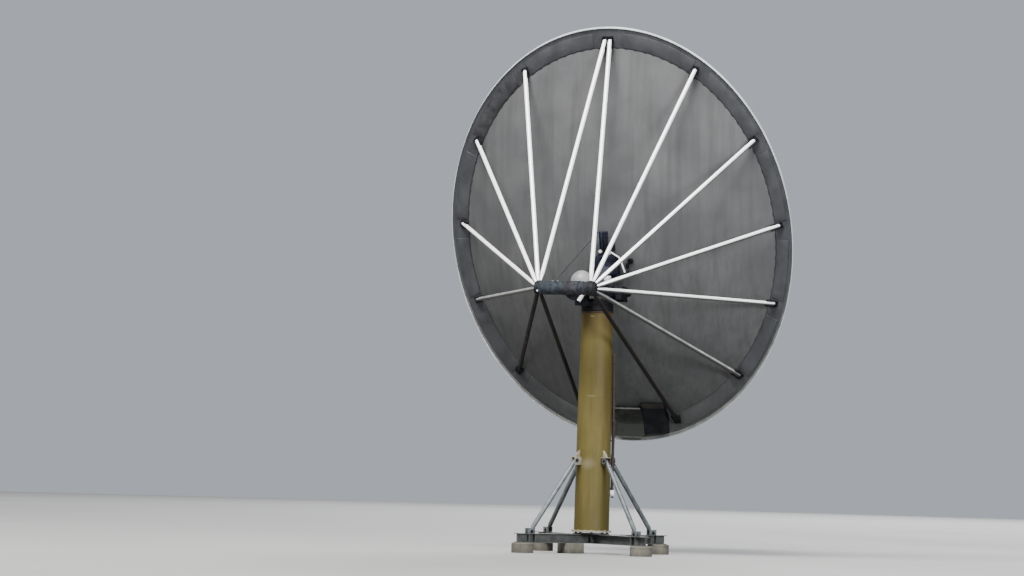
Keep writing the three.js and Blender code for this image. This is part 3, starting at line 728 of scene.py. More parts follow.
def strut_bar(name, length, finish):
    """The bar along +Z, with a rod at its hub end and a neck and two cheeks at the rim."""
    tube = painted(turned(name + "_tube", [
        (0.126, 0.018), (0.130, 0.022), (0.240, 0.031), (0.290, STRUT_RADIUS),
        (length - 0.070, STRUT_RADIUS), (length - 0.042, 0.028)], 28), finish)
    rod = painted(turned(name + "_rod", [
        (0.100, 0.016), (0.114, 0.016), (0.114, 0.024), (0.126, 0.024), (0.126, 0.017),
        (0.134, 0.017)], 16), DARK)
    neck = painted(turned(name + "_neck", [
        (length - 0.050, 0.022), (length - 0.012, 0.022)], 16), DARK)
    cheeks = [painted(block(name + "_cheek", (x, -0.024, length - 0.205),
                            (x + 0.016, 0.024, length - 0.030)), DARK) for x in (-0.054, 0.038)]
    return joined(name + "_bar", [chamfered(part, 0.0015) for part in [tube, rod, neck] + cheeks])


def strut_foot(name):
    """The foot on the flange: a plate with two ears and four bolts."""
    thick = 0.012
    plate = block(name + "_plate", (-0.052, -0.024, GAP), (0.052, 0.116, thick), 0.002)
    ears = [placed(prism(name + "_ear", [(-0.016, 0.010), (0.100, 0.010), (0.100, 0.070),
                                         (0.060, 0.085), (0.000, 0.050)], x, x + 0.006), ON_EDGE)
            for x in (-0.053, 0.047)]
    bolts = spread(name + "_bolts", bolt(0.006, 0.005),
                   grid_places((-0.030, 0.030), (-0.014, 0.105), thick))
    return painted(joined(name + "_foot", [plate] + ears + [bolts]), DARK)


def strut(number, degrees, side):
    name = "strut_%s_%d" % (SIDE_NAMES[side], number)
    start, end = node_point(side), rim_point(degrees, side, STRUT_INSET)
    run = end - start
    inward = -run + NORMAL * run.dot(NORMAL)
    inward.normalize()
    across = inward.cross(-NORMAL)
    bar = placed(strut_bar(name, run.length, strut_finish(number, side)),
                 frame_at(across, run.cross(across).normalized(), run.normalized(), start))
    foot = placed(strut_foot(name), frame_at(across, inward, -NORMAL, end))
    finished(joined("bar_" + name, [bar, foot]), "dish", "strut_aluminium", name)


def hub(side):
    """A drum with bolts on its end, and a neck with a bolted collar."""
    inner = TUBE_REACH
    outer = HUB_END - LEFT_HUB_CUT if side > 0 else HUB_END
    drum = turned("drum", [
        (inner + 0.095, 0.102), (inner + 0.095, HUB_RADIUS), (outer - 0.030, HUB_RADIUS),
        (outer - 0.012, 0.106), (outer - 0.012, 0.080), (outer, 0.078), (outer, 0.030),
        (outer - 0.006, 0.028)], 48)
    bolts = spread("bolts", bolt(0.008, 0.007),
                   round_places(8, 0.060, moved(z=outer - 0.008)))
    collar = spread("collar_bolts", bolt(0.007, 0.006),
                    outward_places(8, 0.104, inner + 0.046, 10))
    drum = painted(joined("drum", [chamfered(drum, 0.002), bolts]), HUB_STEEL)
    neck = turned("neck", [
        (inner, HUB_RADIUS), (inner + 0.022, HUB_RADIUS), (inner + 0.022, 0.104),
        (inner + 0.070, 0.104), (inner + 0.070, HUB_RADIUS), (inner + 0.094, HUB_RADIUS),
        (inner + 0.094, 0.100)], 48)
    neck = painted(joined("neck", [chamfered(neck, 0.002), collar]),
                   TUBE_COAT if side > 0 else SLEEVE_COAT)
    piece = joined("drum_" + SIDE_NAMES[side], [drum, neck])
    place = frame_at(UPRIGHT.cross(SIDEWAYS * side), UPRIGHT, SIDEWAYS * side, TUBE)
    finished(placed(piece, place), "dish", "steel", "hub_" + SIDE_NAMES[side])


def cross_tube():
    reach = TUBE_REACH - GAP
    tube = turned("cross_tube", [(-reach, TUBE_RADIUS), (0.06, TUBE_RADIUS), (0.063, 0.1065),
                                 (0.067, 0.1065), (0.070, TUBE_RADIUS), (reach, TUBE_RADIUS)], 64)
    painted(chamfered(tube, 0.001), TUBE_COAT)
    finished(placed(tube, lying_at(TUBE)), "dish", "galvanised", "transverse_tube")


def clamp_sleeve():
    """The bolted sleeve on the tube, with a lug toward the dish."""
    low, high, inner = -0.269, -0.020, TUBE_RADIUS + GAP
    sleeve = turned("sleeve", [
        (low, inner), (low, 0.120), (low + 0.03, 0.120), (low + 0.03, 0.116),
        (high - 0.03, 0.116), (high - 0.03, 0.120), (high, 0.120), (high, inner)],
        64, ring=True)
    bolts = spread("sleeve_bolts", bolt(0.007, 0.004, washer=False),
                   outward_places(8, 0.116, -0.20) + outward_places(8, 0.116, -0.09))
    sleeve = placed(painted(joined("sleeve", [sleeve, bolts]), SLEEVE_COAT), lying_at(TUBE))
    lug = prism("lug", [(-0.030, -0.090), (-0.200, -0.090), (-0.200, -0.205), (-0.120, -0.185),
                        (-0.050, -0.140)], -0.020, 0.020)
    upright = moved(*TUBE) @ swung(90, "X")
    lug = painted(placed(chamfered(lug, 0.004), upright), DARK)
    finished(joined("clamp_sleeve", [sleeve, lug]), "dish", "dark_casting", "tube_sleeve")


def centre_support():
    """The ribbed column from the shaft's sleeve up to a bolted pad on the skin."""
    pivot_run = BACK_CENTRE - AXIS
    top = pivot_run.length + 0.08
    bars = [block("column", (-0.108, -0.088, 0), (0.108, 0.088, top), 0.004)]
    bars += [block("rib", (x - 0.008, -0.090, 0.07), (x + 0.008, 0.090, top), 0.004)
             for x in (-0.102, 0.0, 0.102)]
    column = joined("column", [
        cut(placed(bar, along(AXIS, pivot_run)), BACK_CENTRE - NORMAL * 0.006, NORMAL)
        for bar in bars])
    sleeve = turned("sleeve", [
        (-0.195, 0.078), (-0.165, 0.078), (-0.165, 0.070), (0.165, 0.070), (0.165, 0.078),
        (0.195, 0.078), (0.195, 0.047), (-0.195, 0.047)], 48, ring=True)
    placed(chamfered(sleeve, 0.002), lying_at(AXIS))
    pad = turned("pad", [(-0.003, 0.227), (0.004, 0.230), (0.022, 0.230), (0.026, 0.222),
                         (0.026, 0.190), (0.060, 0.172), (0.060, 0.150), (0.052, 0.140)], 64)
    bolts = spread("pad_bolts", bolt(0.009, 0.008),
                   round_places(12, 0.207, moved(z=0.026)))
    pad = placed(joined("pad", [chamfered(pad, 0.002), bolts]), BACK_PLACE)
    piece = painted(joined("centre_casting", [column, sleeve, pad]), BLUE_BLACK)
    finished(piece, "dish", "dark_casting", "centre_support")


def back_rail():
    """Three bars on a sloped base that follows the skin, with rungs across."""
    foot, base_top = 0.028, 0.030
    base = prism("base", [(0.245, -0.008), (0.565, -0.026), (0.565, base_top),
                          (0.245, base_top)], -0.112, 0.045)
    bars = [painted(prism("bar", [(0.250, foot), (end, foot), (end, 0.052),
                                  (end - 0.014, 0.060), (0.264, 0.060), (0.250, 0.052)],
                          x, x + 0.034), finish)
            for x, end, finish in ((-0.122, 0.545, GALVANISED), (-0.058, 0.568, BLUE_BLACK),
                                   (-0.004, 0.455, DARK))]
    rungs = [block("rung", (at, foot, -0.103), (at + 0.012, 0.044, 0.043))
             for at in (0.30, 0.36, 0.42, 0.48, 0.54)]
    carrier = painted(joined("carrier", [base] + rungs), BLUE_BLACK)
    piece = joined("back_carrier", [carrier] + bars)
    placed(chamfered(piece, 0.002), BACK_PLACE @ ON_EDGE)
    finished(piece, "dish", "dark_casting", "back_rail")


def centre_box():
    """The slotted cover box beside the centre casting."""
    parts = [block("box", (0.020, -0.150, 0.040), (0.250, 0.190, 0.135), 0.012, 3),
             block("lid", (0.032, -0.138, 0.130), (0.238, 0.178, 0.143), 0.012, 3)]
    parts += [block("slot", (0.05, at, 0.140), (0.22, at + 0.010, 0.147))
              for at in (-0.10, -0.07, -0.04, 0.10, 0.13)]
    cover = painted(joined("centre_box", parts), BLUE_BLACK)
    finished(placed(cover, BACK_PLACE), "dish", "dark_casting")


def vent_pipe():
    """A pale pipe with one bend and a hooked end, and the dark stubs that hold its ends."""
    start, end, bend = 17, 59, 0.140
    centre = Vector((0.1856, 0.0628, 0.158))
    elbow = bent_pipe("elbow", PIPE_RADIUS, bend, end - start, 16)
    lengths = [placed(elbow, moved(*centre) @ swung(end) @ swung(90, "X"))]
    tips = []
    for degrees, lead, reach in ((end, 1, 0.137), (start, -1, 0.210)):
        turn = math.radians(degrees)
        spot = centre + bend * Vector((math.cos(turn), math.sin(turn), 0))
        ahead = Vector((-math.sin(turn), math.cos(turn), 0)) * lead
        lengths.append(placed(turned("length", [(-0.001, PIPE_RADIUS), (reach, PIPE_RADIUS)], 16),
                              along(spot, ahead)))
        tips.append(spot + ahead * reach)
    hook = turned("hook", [(-0.004, PIPE_RADIUS), (0.036, PIPE_RADIUS)], 16)
    lengths.append(placed(hook, along(tips[0], Vector((-0.3, -0.95, 0)))))
    vent = painted(joined("vent_pipe", lengths), PALE_PIPE)
    finished(placed(vent, BACK_PLACE), "dish", "white_cover")
    stubs = [placed(turned("stub", [(-reach, PIPE_RADIUS), (0.010, PIPE_RADIUS), (0.016, 0.008)],
                           16), BACK_PLACE @ moved(*tip))
             for tip, reach in zip(tips, (0.130, 0.170))]
    finished(painted(joined("vent_stubs", stubs), BLUE_BLACK), "dish", "white_cover")


def port():
    """A round port on the skin, with its latch and a cable outlet."""
    ring = turned("port", [(-0.0185, 0.050), (0.012, 0.050), (0.016, 0.044), (0.016, 0.028),
                           (0.004, 0.026)], 32)
    placed(ring, moved(0.425, 0.070))
    latch = block("latch", (0.345, -0.050, -0.012), (0.395, 0.040, 0.024), 0.008)
    outlet = block("outlet", (0.112, 0.250, -0.012), (0.165, 0.370, 0.045), 0.008)
    piece = painted(joined("port", [ring, latch, outlet]), DARK)
    finished(placed(piece, BACK_PLACE), "dish", "dark_casting")


def pale_fittings():
    """A round cap beside the rail and a small box under the cover box."""
    cap = turned("cap", [(-0.010, 0.030), (0.050, 0.030), (0.062, 0.020), (0.062, 0.004)], 24)
    placed(cap, moved(-0.086, 0.235))
    sensor = block("sensor_box", (0.096, -0.192, 0.280), (0.180, -0.126, 0.385), 0.006)
    for piece in (cap, sensor):
        finished(placed(painted(piece, PALE_PIPE), BACK_PLACE), "dish", "white_cover")


def tie_rod():
    """A thin rod from a saddle on the tube to the rail, and the saddle's bolts, painted white as
    glints on the tube's top.
    """
    start = TUBE + Vector((0.185, -0.02, 0.105))
    end = BACK_PLACE @ Vector((-0.112, 0.555, 0.050))
    run = end - start
    rod = turned("rod", [(0, 0.009), (0.030, 0.013), (0.060, 0.009), (run.length - 0.060, 0.009),
                         (run.length - 0.030, 0.013), (run.length, 0.009)], 12)
    painted(placed(rod, along(start, run)), STIFFENER)
    top = 0.112
    saddle = block("saddle", (0.096, -0.030, top - 0.012), (0.232, 0.030, top), 0.004)
    painted(placed(saddle, moved(*TUBE)), TUBE_COAT)
    bolts = spread("saddle_bolts", bolt(0.013, 0.010), grid_places((0.118, 0.208), (0.006,), top))
    # White bolt heads: painted glints on the tube's top.
    painted(placed(bolts, moved(*TUBE)), WHITE)
    finished(joined("tie_rod", [rod, saddle, bolts]), "dish", "steel")


def grease_cap():
    """The cap low on the left hub, painted pale as a highlight."""
    drop = math.radians(26)
    out = Vector((0, math.cos(drop), -math.sin(drop)))
    cap = turned("grease_cap", [(-0.012, 0.015), (0.006, 0.015), (0.010, 0.010), (0.010, 0.002)],
                 20)
    placed(cap, along(TUBE + SIDEWAYS * 0.432 + out * HUB_RADIUS, out))
    finished(painted(cap, PALE_PIPE), "dish", "white_cover")


def rim_box_trim():
    """The bright ledge, the louvres with a hasp and the lid of the boxes on the flange."""
    def place(x, up, back):
        return rim_plane_at(RIM_CENTRE + SIDEWAYS * x + UPWARD * up - NORMAL * back)

    ledge = block("box_ledge", (-0.235, -0.012, -0.022), (0.235, 0.012, 0.004), 0.003)
    placed(ledge, place(-0.015, -2.912, 0.213))
    finished(painted(ledge, WORN_LEDGE), "dish", "box_paint")
    slope = 0.115 / 0.3
    tip = swung(math.degrees(math.atan(slope)), "X")
    parts = []
    for k in range(5):
        louvre = block("louvre", (-0.13, -0.008, -0.002), (0.13, 0.008, 0.006), 0.002)
        at = 0.06 + 0.032 * k
        parts.append(placed(louvre, place(-0.06, at - 3.2, 0.100 + at * slope) @ tip))
    parts.append(placed(block("hasp", (-0.012, -0.03, 0), (0.012, 0.03, 0.012)),
                        place(0.15, -3.30, 0.100)))
    finished(painted(joined("box_louvres", parts), BOX), "dish", "box_paint")
    lid = block("lid", (-0.200, -0.045, -0.004), (0.200, 0.045, 0.003), 0.003)
    lean = swung(math.degrees(math.atan2(0.115, 0.38)), "X")
    placed(lid, place(-0.4625, -2.870, 0.1899) @ lean)
    finished(painted(lid, BOX_LID), "dish", "dark_casting")


def secondary():
    """The round cap and the rolled bead on its edge."""
    sheet, roll = 0.0108, 0.0055
    pole, steps = 0.02, 20
    edge = math.asin(SECONDARY_RADIUS / SPHERE_RADIUS)
    turns = [pole + (edge - pole) * k / steps for k in range(steps + 1)]
    front, back = ([(reach * math.cos(turn), reach * math.sin(turn)) for turn in turns]
                   for reach in (SPHERE_RADIUS, SPHERE_RADIUS + sheet))
    cap = two_faced(turned("cap", front + back[::-1], 96), PALE_FACE, WHITE_FACE)
    bead = painted(turned("bead", [
        (CHORD_HEIGHT + 0.0045 + roll * math.sin(turn), 1.202 + roll * math.cos(turn))
        for turn in [math.pi * k / 4 for k in range(8)]], 96, ring=True), RIM)
    piece = joined("secondary_cap", [cap, bead])
    finished(placed(piece, SECONDARY), "dish", "dish_sheet", "secondary_reflector")


def secondary_edge(degrees, radius):
    turn = math.radians(degrees)
    return SECONDARY @ Vector((radius * math.sin(turn), -radius * math.cos(turn),
                               CHORD_HEIGHT - GAP))


def primary_edge(degrees, radius):
    turn = math.radians(degrees)
    return BOWL @ Vector((-radius * math.sin(turn), -radius * math.cos(turn),
                          -RIM_SHEET - 2 * GAP))


def secondary_stay(side):
    start = primary_edge(side * STAY_ANGLE, RIM_WIDE * 0.95)
    end = secondary_edge(side * STAY_ANGLE, SECONDARY_RADIUS - 0.030)
    run = end - start
    length = run.length
    tube = painted(turned("tube", [
        (0.050, 0.018), (0.060, 0.024), (length - 0.080, 0.024), (length - 0.070, 0.018),
        (length - 0.006, 0.018)], 24), GALVANISED)
    fork = painted(turned("fork", [(0.000, 0.018), (0.054, 0.018)], 12), DARK)
    for part in (tube, fork):
        placed(part, along(start, run))
    front = -0.012
    foot = block("foot", (-0.060, -0.060, front), (0.060, 0.060, 0), 0.002)
    bolts = spread("foot_bolts", placed(bolt(0.007, 0.006), swung(180, "X")),
                   grid_places((-0.045, 0.045), (-0.045, 0.045), front))
    foot = painted(joined("foot", [foot, bolts]), STEEL)
    placed(foot, rim_plane_at(start))
    piece = joined("stay_" + SIDE_NAMES[side], [tube, fork, foot])
    finished(piece, "dish", "galvanised", "secondary_stay_" + SIDE_NAMES[side])


def shroud_battens():
    """Flat battens that hold the shroud sheets, from the primary's edge to the secondary's."""
    count, low_angle, high_angle, span = 13, 47, 70, 0.985
    middle = (CHORD_CENTRE + RIM_CENTRE) / 2
    battens = []
    for k in range(count):
        share = share_between(k, 0, count - 1, -span, span)
        low = primary_edge(low_angle * share, SKIN_RADIUS + 0.071)
        high = secondary_edge(high_angle * share, SECONDARY_RADIUS + 0.0045)
        run = high - low
        outward = (low + high) / 2 - middle
        outward -= run * (outward.dot(run) / run.length_squared)
        outward.normalize()
        batten = block("batten", (-0.014, -0.003, 0.02), (0.014, 0.002, run.length - 0.03))
        place = frame_at(outward.cross(run.normalized()), outward, run.normalized(), low)
        battens.append(placed(batten, place))
    piece = painted(joined("shroud_battens", battens), SHROUD)
    finished(piece, "dish", "shroud_cloth")


def feed():
    """The drum with two grooves and the cone in front of it, inside the shroud."""
    tail = optic(-0.120, 0.350)
    run = optic(-0.380, 1.750) - tail
    length, drum, front = run.length, 0.180, 0.860
    grooves = []
    for at in (0.420, 0.700):
        grooves += [(at, drum), (at, 0.172), (at + 0.020, 0.172), (at + 0.020, drum)]
    housing = turned("feed_drum", [(0.260, 0.150), (0.280, drum)] + grooves
                     + [(front - 0.020, drum), (front, 0.165)], 64)
    finished(placed(painted(chamfered(housing, 0.003), WHITE), along(tail, run)), "dish",
             "white_cover", "feed_housing")
    cone = turned("feed_horn", [
        (front + GAP, 0.165), (0.880, 0.165), (0.900, 0.150), (length - 0.060, 0.060),
        (length - 0.040, 0.045), (length, 0.030)], 64)
    finished(placed(painted(chamfered(cone, 0.002), WHITE), along(tail, run)), "dish",
             "white_cover", "feed_cone")


# Turning head

def azimuth_housing():
    low, waist, lip, top = HEAD_LEVEL + GAP, 0.250, 0.262, 4.150
    drum = turned("drum", [
        (low, waist), (low + 0.012, lip), (low + 0.040, lip), (low + 0.040, waist),
        (top - 0.045, waist), (top - 0.045, lip), (top - 0.015, lip), (top, 0.245)], 80)
    bolts = spread("bolts", bolt(0.008, 0.007), outward_places(16, waist, 4.072, 11))
    parts = [chamfered(drum, 0.002), ribs(16, 0.245, 0.260, 4.020, 4.110), bolts]
    piece = painted(joined("housing_drum", parts), DARK)
    finished(placed(piece, MAST), "head", "dark_casting", "azimuth_housing")


def yoke_bolts():
    bolts = spread("yoke_bolts", bolt(0.009, 0.008), [
        MAST @ swung(degrees) @ moved(0.228, 0, YOKE_LEVEL)
        for degrees in (60, 75, 90, 105, 120, 255, 270, 285, 300)])
    finished(painted(bolts, STEEL), "head", "steel")


def elevation_shaft():
    reach = 0.3200
    cap = [(reach, 0.066), (reach + 0.010, 0.066), (reach + 0.014, 0.040)]
    shaft = turned("shaft", [(-height, radius) for height, radius in reversed(cap)]
                   + [(-reach, 0.045), (reach, 0.045)] + cap, 48)
    painted(shaft, STEEL)
    finished(placed(shaft, lying_at(AXIS)), "head", "steel", "elevation_shaft")


def elevation_gearbox():
    """The box beside the yoke, with end bands, a belt and a bolted round cover."""
    inset = 0.008
    low = Vector((-0.436, MAST_Y - 0.220, YOKE_LEVEL + GAP))
    high = Vector((-0.3343, MAST_Y + 0.060, 4.395))
    parts = [block("body", (low.x + inset, low.y + inset, low.z), (high.x, high.y - inset, high.z),
                   0.003),
             block("band", (low.x, low.y, 4.283), (high.x, high.y, 4.297), 0.003)]
    parts += [block("end", (low.x, y, low.z), (high.x, y + 0.016, high.z), 0.003)
              for y in (low.y, high.y - 0.016)]
    side = frame_at(UPRIGHT, REARWARD, -SIDEWAYS, Vector((low.x + inset, MAST_Y - 0.06, 4.34)))
    parts.append(placed(turned("cover", [(0, 0.070), (0.006, 0.068)], 32), side))
    parts.append(spread("cover_bolts", bolt(0.006, 0.005, washer=False),
                        round_places(8, 0.058, side @ moved(z=0.002))))
    piece = painted(joined("tilt_gearbox", parts), DARK)
    finished(piece, "head", "dark_casting", "elevation_gearbox")


def elevation_motor():
    motor = turned("motor", [(0, 0.050), (0.016, 0.050), (0.016, 0.045), (0.130, 0.045),
                             (0.130, 0.050), (0.140, 0.050), (0.140, 0.042), (0.194, 0.042),
                             (0.200, 0.034)], 40)
    fins = ribs(24, 0.043, 0.0495, 0.018, 0.128, half=0.0015)
    motor = painted(joined("tilt_motor", [chamfered(motor, 0.0015), fins]), DARK)
    place = along(Vector((-0.388, MAST_Y - 0.220 - GAP, 4.290)), -REARWARD)
    finished(placed(motor, place), "head", "dark_casting", "elevation_motor")


def drive_column():
    """The ribbed column of the turning drive and the arm that carries it."""
    narrow, wide = 0.092, 0.105
    column = turned("column", [
        (4.060, 0.100), (4.064, wide), (4.090, wide), (4.090, narrow), (4.240, narrow),
        (4.240, wide), (4.262, wide), (4.262, narrow), (4.410, narrow), (4.410, wide),
        (DOME_LEVEL, wide)], 48)
    parts = [chamfered(column, 0.002), ribs(8, 0.088, 0.103, 4.085, 4.415, first=20)]
    column = placed(joined("column", parts), moved(*DRIVE))
    arm = block("arm", (0.005, MAST_Y + 0.225, 4.062), (0.165, DRIVE.y, 4.138), 0.006)
    piece = painted(joined("turn_drive", [column, arm]), DARK)
    finished(piece, "head", "dark_casting", "drive_column")


def dome():
    """The white cover: a grooved skirt with screws and a round top."""
    groove, middle, steps = 0.176, DOME_LEVEL + 0.016, 40
    top = [(middle + DOME_RADIUS * math.sin(turn), DOME_RADIUS * math.cos(turn))
           for turn in [math.pi * k / steps for k in range(steps // 2)]]
    cover = turned("cover", [
        (DOME_LEVEL + GAP, DOME_RADIUS), (4.444, DOME_RADIUS), (4.444, groove), (4.454, groove)]
        + top + [(middle + DOME_RADIUS, 0.004)], 64)
    screws = spread("screws", bolt(0.0045, 0.004, washer=False),
                    outward_places(8, 0.1755, 4.449))
    piece = painted(joined("dome_shell", [cover, screws]), WHITE)
    finished(placed(piece, moved(*DRIVE)), "head", "white_cover", "dome_cover")


def azimuth_motor():
    body = turned("body", [
        (0.000, 0.040), (0.018, 0.040), (0.018, 0.030), (0.185, 0.030), (0.185, 0.033),
        (0.232, 0.033)], 40)
    fins = ribs(24, 0.028, 0.0325, 0.020, 0.183, half=0.0015)
    ring = painted(turned("ring", [
        (0.232, 0.033), (0.234, 0.036), (0.250, 0.036), (0.255, 0.028)], 40), DARK)
    pale = painted(joined("body", [chamfered(body, 0.0015), fins]), PALE_PIPE)
    piece = joined("turn_motor", [pale, ring])
    start = DRIVE + Vector((-0.069, 0.054, 4.270))
    finished(placed(piece, along(start, Vector((0.135, 0.72, -0.68)))), "head", "white_cover",
             "azimuth_motor")


# Pedestal and base

def brace_bracket(number):
    """Two cheeks, a shelf and a gusset, where a brace meets the mast."""
    top, half = 1.573, 0.054
    cheeks = [block("cheek", (0.270, y, 1.453), (0.410, y + 0.012, top + 0.001), 0.002)
              for y in (-0.052, 0.040)]
    shelf = block("shelf", (0.270, -half, top), (0.410, half, top + 0.012), 0.003)
    gusset = prism("gusset", [(0.275, 1.580), (0.385, 1.580), (0.340, 1.650), (0.275, 1.700)],
                   -0.016, 0.016)
    placed(chamfered(gusset, 0.003), swung(90, "X"))
    parts = [painted(cheek, BROWN if number else BRACKET_TOP) for cheek in cheeks]
    parts += [painted(part, BRACKET_TOP) for part in (shelf, gusset)]
    return placed(joined("bracket", parts), swung(LEG_ANGLE + 90 * number))


def pedestal():
    """The tapered tube with two weld seams and a bracket for each brace."""
    low, high, wall = MAST_LOW + GAP, MAST_HIGH - GAP, 0.012
    outside = [(low, FOOT_RADIUS + 0.004), (low + 0.012, FOOT_RADIUS + 0.0005)]
    for seam in (2.59, 3.43):
        outside += [(seam + step, mast_radius(seam + step) + rise) for step, rise in (
            (-0.060, 0), (-0.020, 0), (-0.006, 0), (0, 0.0015), (0.006, 0), (0.020, 0), (0.060, 0))]
    outside.append((high, NECK_RADIUS))
    inside = [(high, NECK_RADIUS - wall), (low, FOOT_RADIUS - wall)]
    tube = painted(turned("tube", outside + inside, 96, ring=True), OCHRE)
    piece = joined("mast_tube", [tube] + [brace_bracket(number) for number in range(4)])
    finished(placed(piece, MAST), "base", "ochre", "pedestal_tube")


def pedestal_flanges():
    foot = turned("foot", [
        (FOOT_LEVEL, 0.326), (FOOT_LEVEL + 0.004, 0.330), (MAST_LOW - 0.004, 0.330),
        (MAST_LOW, 0.326), (MAST_LOW, 0.280)], 96)
    bolts = spread("bolts", bolt(0.010, 0.012, washer=False),
                   round_places(16, 0.3105, moved(z=MAST_LOW)))
    foot = painted(joined("mast_foot", [foot, bolts]), BRACKET_TOP)
    finished(placed(foot, MAST), "base", "ochre", "pedestal_base_flange")
    top = turned("mast_head", [
        (MAST_HIGH, 0.266), (3.958, 0.270), (3.968, 0.270), (3.970, 0.267), (3.973, 0.270),
        (3.982, 0.270), (HEAD_LEVEL, 0.266)], 96)
    finished(placed(painted(top, BROWN), MAST), "base", "stained_steel", "pedestal_top_flange")


def levelling_plate():
    low, top, edge = PLATE_LEVEL + GAP, 0.336, 0.297
    plate = turned("plate", [(low, edge), (low + 0.0022, 0.300), (top - 0.002, 0.300),
                             (top, edge)], 96)
    stud = turned("stud", [(top - 0.002, 0.014), (FOOT_LEVEL - GAP, 0.014)], 16)
    nut = turned("nut", [(top, 0.022), (top + 0.009, 0.022)], 6)
    studs = spread("studs", joined("stud", [stud, nut]), round_places(8, 0.255, first=22.5))
    piece = painted(joined("level_plate", [plate, studs]), STEEL)
    finished(placed(piece, MAST), "base", "steel", "levelling_plate")


def brace_pin(spot, reach, ear):
    """A pin through two lugs, with a nut at each end and a boss on each lug."""
    pin = turned("pin", [(-reach, 0.014), (-reach + 0.002, 0.016), (reach - 0.002, 0.016),
                         (reach, 0.014)], 20)
    nuts = [turned("nut", [(at, 0.027), (at + 0.006, 0.027)], 6) for at in (ear, -ear - 0.006)]
    bosses = [turned("boss", [(at, 0.030), (at, 0.046), (at + 0.005, 0.044),
                              (at + 0.005, 0.030)], 32, ring=True) for at in (ear, -ear - 0.005)]
    pin = painted(joined("pin", [pin] + nuts), DARK)
    bosses = painted(joined("bosses", bosses), GALVANISED)
    place = frame_at(UPRIGHT, SIDEWAYS, REARWARD, spot)
    return [placed(part, place) for part in (pin, bosses)]


def brace(number):
    run = BRACE_FOOT - BRACE_TOP
    length = run.length
    tube = turned("tube", [
        (-0.028, 0.020), (-0.020, 0.028), (0.028, 0.028), (0.070, 0.034), (0.074, 0.038),
        (length - 0.100, 0.038), (length - 0.090, 0.034), (length - 0.060, 0.024),
        (length + 0.004, 0.024)], 32)
    placed(chamfered(tube, 0.0015), along(BRACE_TOP, run))
    pins = brace_pin(BRACE_TOP, 0.060, 0.0525) + brace_pin(BRACE_FOOT, 0.056, 0.0465)
    piece = joined("leg_" + LEG_NAMES[number], [painted(tube, GALVANISED)] + pins)
    finished(placed(piece, leg_place(number)), "base", "galvanised",
             "brace_" + LEG_NAMES[number])


def pier(number):
    radius = 0.180
    drum = painted(turned("pier", [
        (0, radius), (0.120, radius), (0.124, radius - 0.003), (0.128, radius), (0.152, radius),
        (PIER_TOP - GAP, 0.170)], 64), CONCRETE)
    place = leg_place(number) @ moved(PIER_REACH)
    finished(placed(drum, place), "base", "concrete", "pier_" + LEG_NAMES[number])


def centre_block():
    body = block("stone_block", (0.250, -0.160, 0), (0.570, 0.160, PIER_TOP - GAP), 0.010, 3)
    finished(placed(painted(body, CONCRETE), leg_place(0)), "base", "concrete", "centre_block")


def beam_fittings():
    """Anchor bolts over the piers, web stiffeners under the lugs and end plates."""
    plate_face = 0.0868
    parts = []
    for number in range(4):
        bolts = spread("anchors", bolt(0.013, 0.014),
                       grid_places((1.30, 1.44), (-0.045, 0.045), 0.177))
        webs = [block("web", (x - 0.004, y - 0.034, 0.176), (x + 0.004, y + 0.034, 0.309))
                for x in (1.175, 1.295) for y in (-0.038, 0.038)]
        fittings = [bolts] + webs
        if number % 2:
            fittings.append(block("end_plate", (plate_face - 0.011, -0.072, 0.178),
                                  (plate_face, 0.072, 0.307)))
            fittings.append(spread("plate_bolts", bolt(0.009, 0.008), [
                moved(plate_face, y, z) @ swung(90, "Y")
                for y in (-0.045, 0.045) for z in (0.205, 0.280)]))
        parts.append(placed(joined("set", fittings), leg_place(number)))
    finished(painted(joined("beam_fittings", parts), GALVANISED), "base", "galvanised")


def mast_clip(name, height, low, reach, half, thick):
    """A rounded clip that stands out from the mast's face."""
    face = mast_radius(height)
    return block(name, (face, -half, low), (reach, half, low + thick), 0.006)


def cable_conduit():
    """The conduit's lower length with two clips, an inlet and a round terminal box."""
    at, bore, socket = CONDUIT_X, 0.024, 0.030
    pipe = turned("pipe", [(1.030, bore), (1.060, bore), (1.060, socket), (1.090, socket),
                           (1.090, bore), (2.180, bore), (2.180, 0.029), (2.204, 0.029),
                           (2.208, bore)], 24)
    placed(chamfered(pipe, 0.001), moved(at))
    inlet = mast_clip("inlet", 2.19, 2.172, at, 0.022, 0.042)
    clips = [mast_clip("clip", height, height, at + 0.026, 0.034, 0.028)
             for height in (1.380, 1.850)]
    metal = painted(joined("pipe", [pipe, inlet] + clips), BROWN)
    box = turned("box", [(mast_radius(1.0), 0.050), (0.292, 0.054), (at + 0.024, 0.054),
                         (at + 0.030, 0.050), (at + 0.036, 0.044)], 48)
    lugs = spread("lugs", bolt(0.006, 0.005),
                  round_places(6, 0.034, moved(z=at + 0.0355)))
    outward = frame_at(-UPRIGHT, REARWARD, SIDEWAYS, UPRIGHT)
    box = painted(placed(joined("box", [chamfered(box, 0.002), lugs]), outward), PALE_PIPE)
    gland = painted(turned("gland", [(0.925, 0.022), (0.945, 0.022), (0.945, 0.028)], 16), DARK)
    placed(gland, moved(at + 0.01))
    piece = joined("conduit", [metal, box, gland])
    finished(placed(piece, MAST @ swung(CONDUIT_ANGLE)), "base", "stained_steel",
             "cable_conduit")


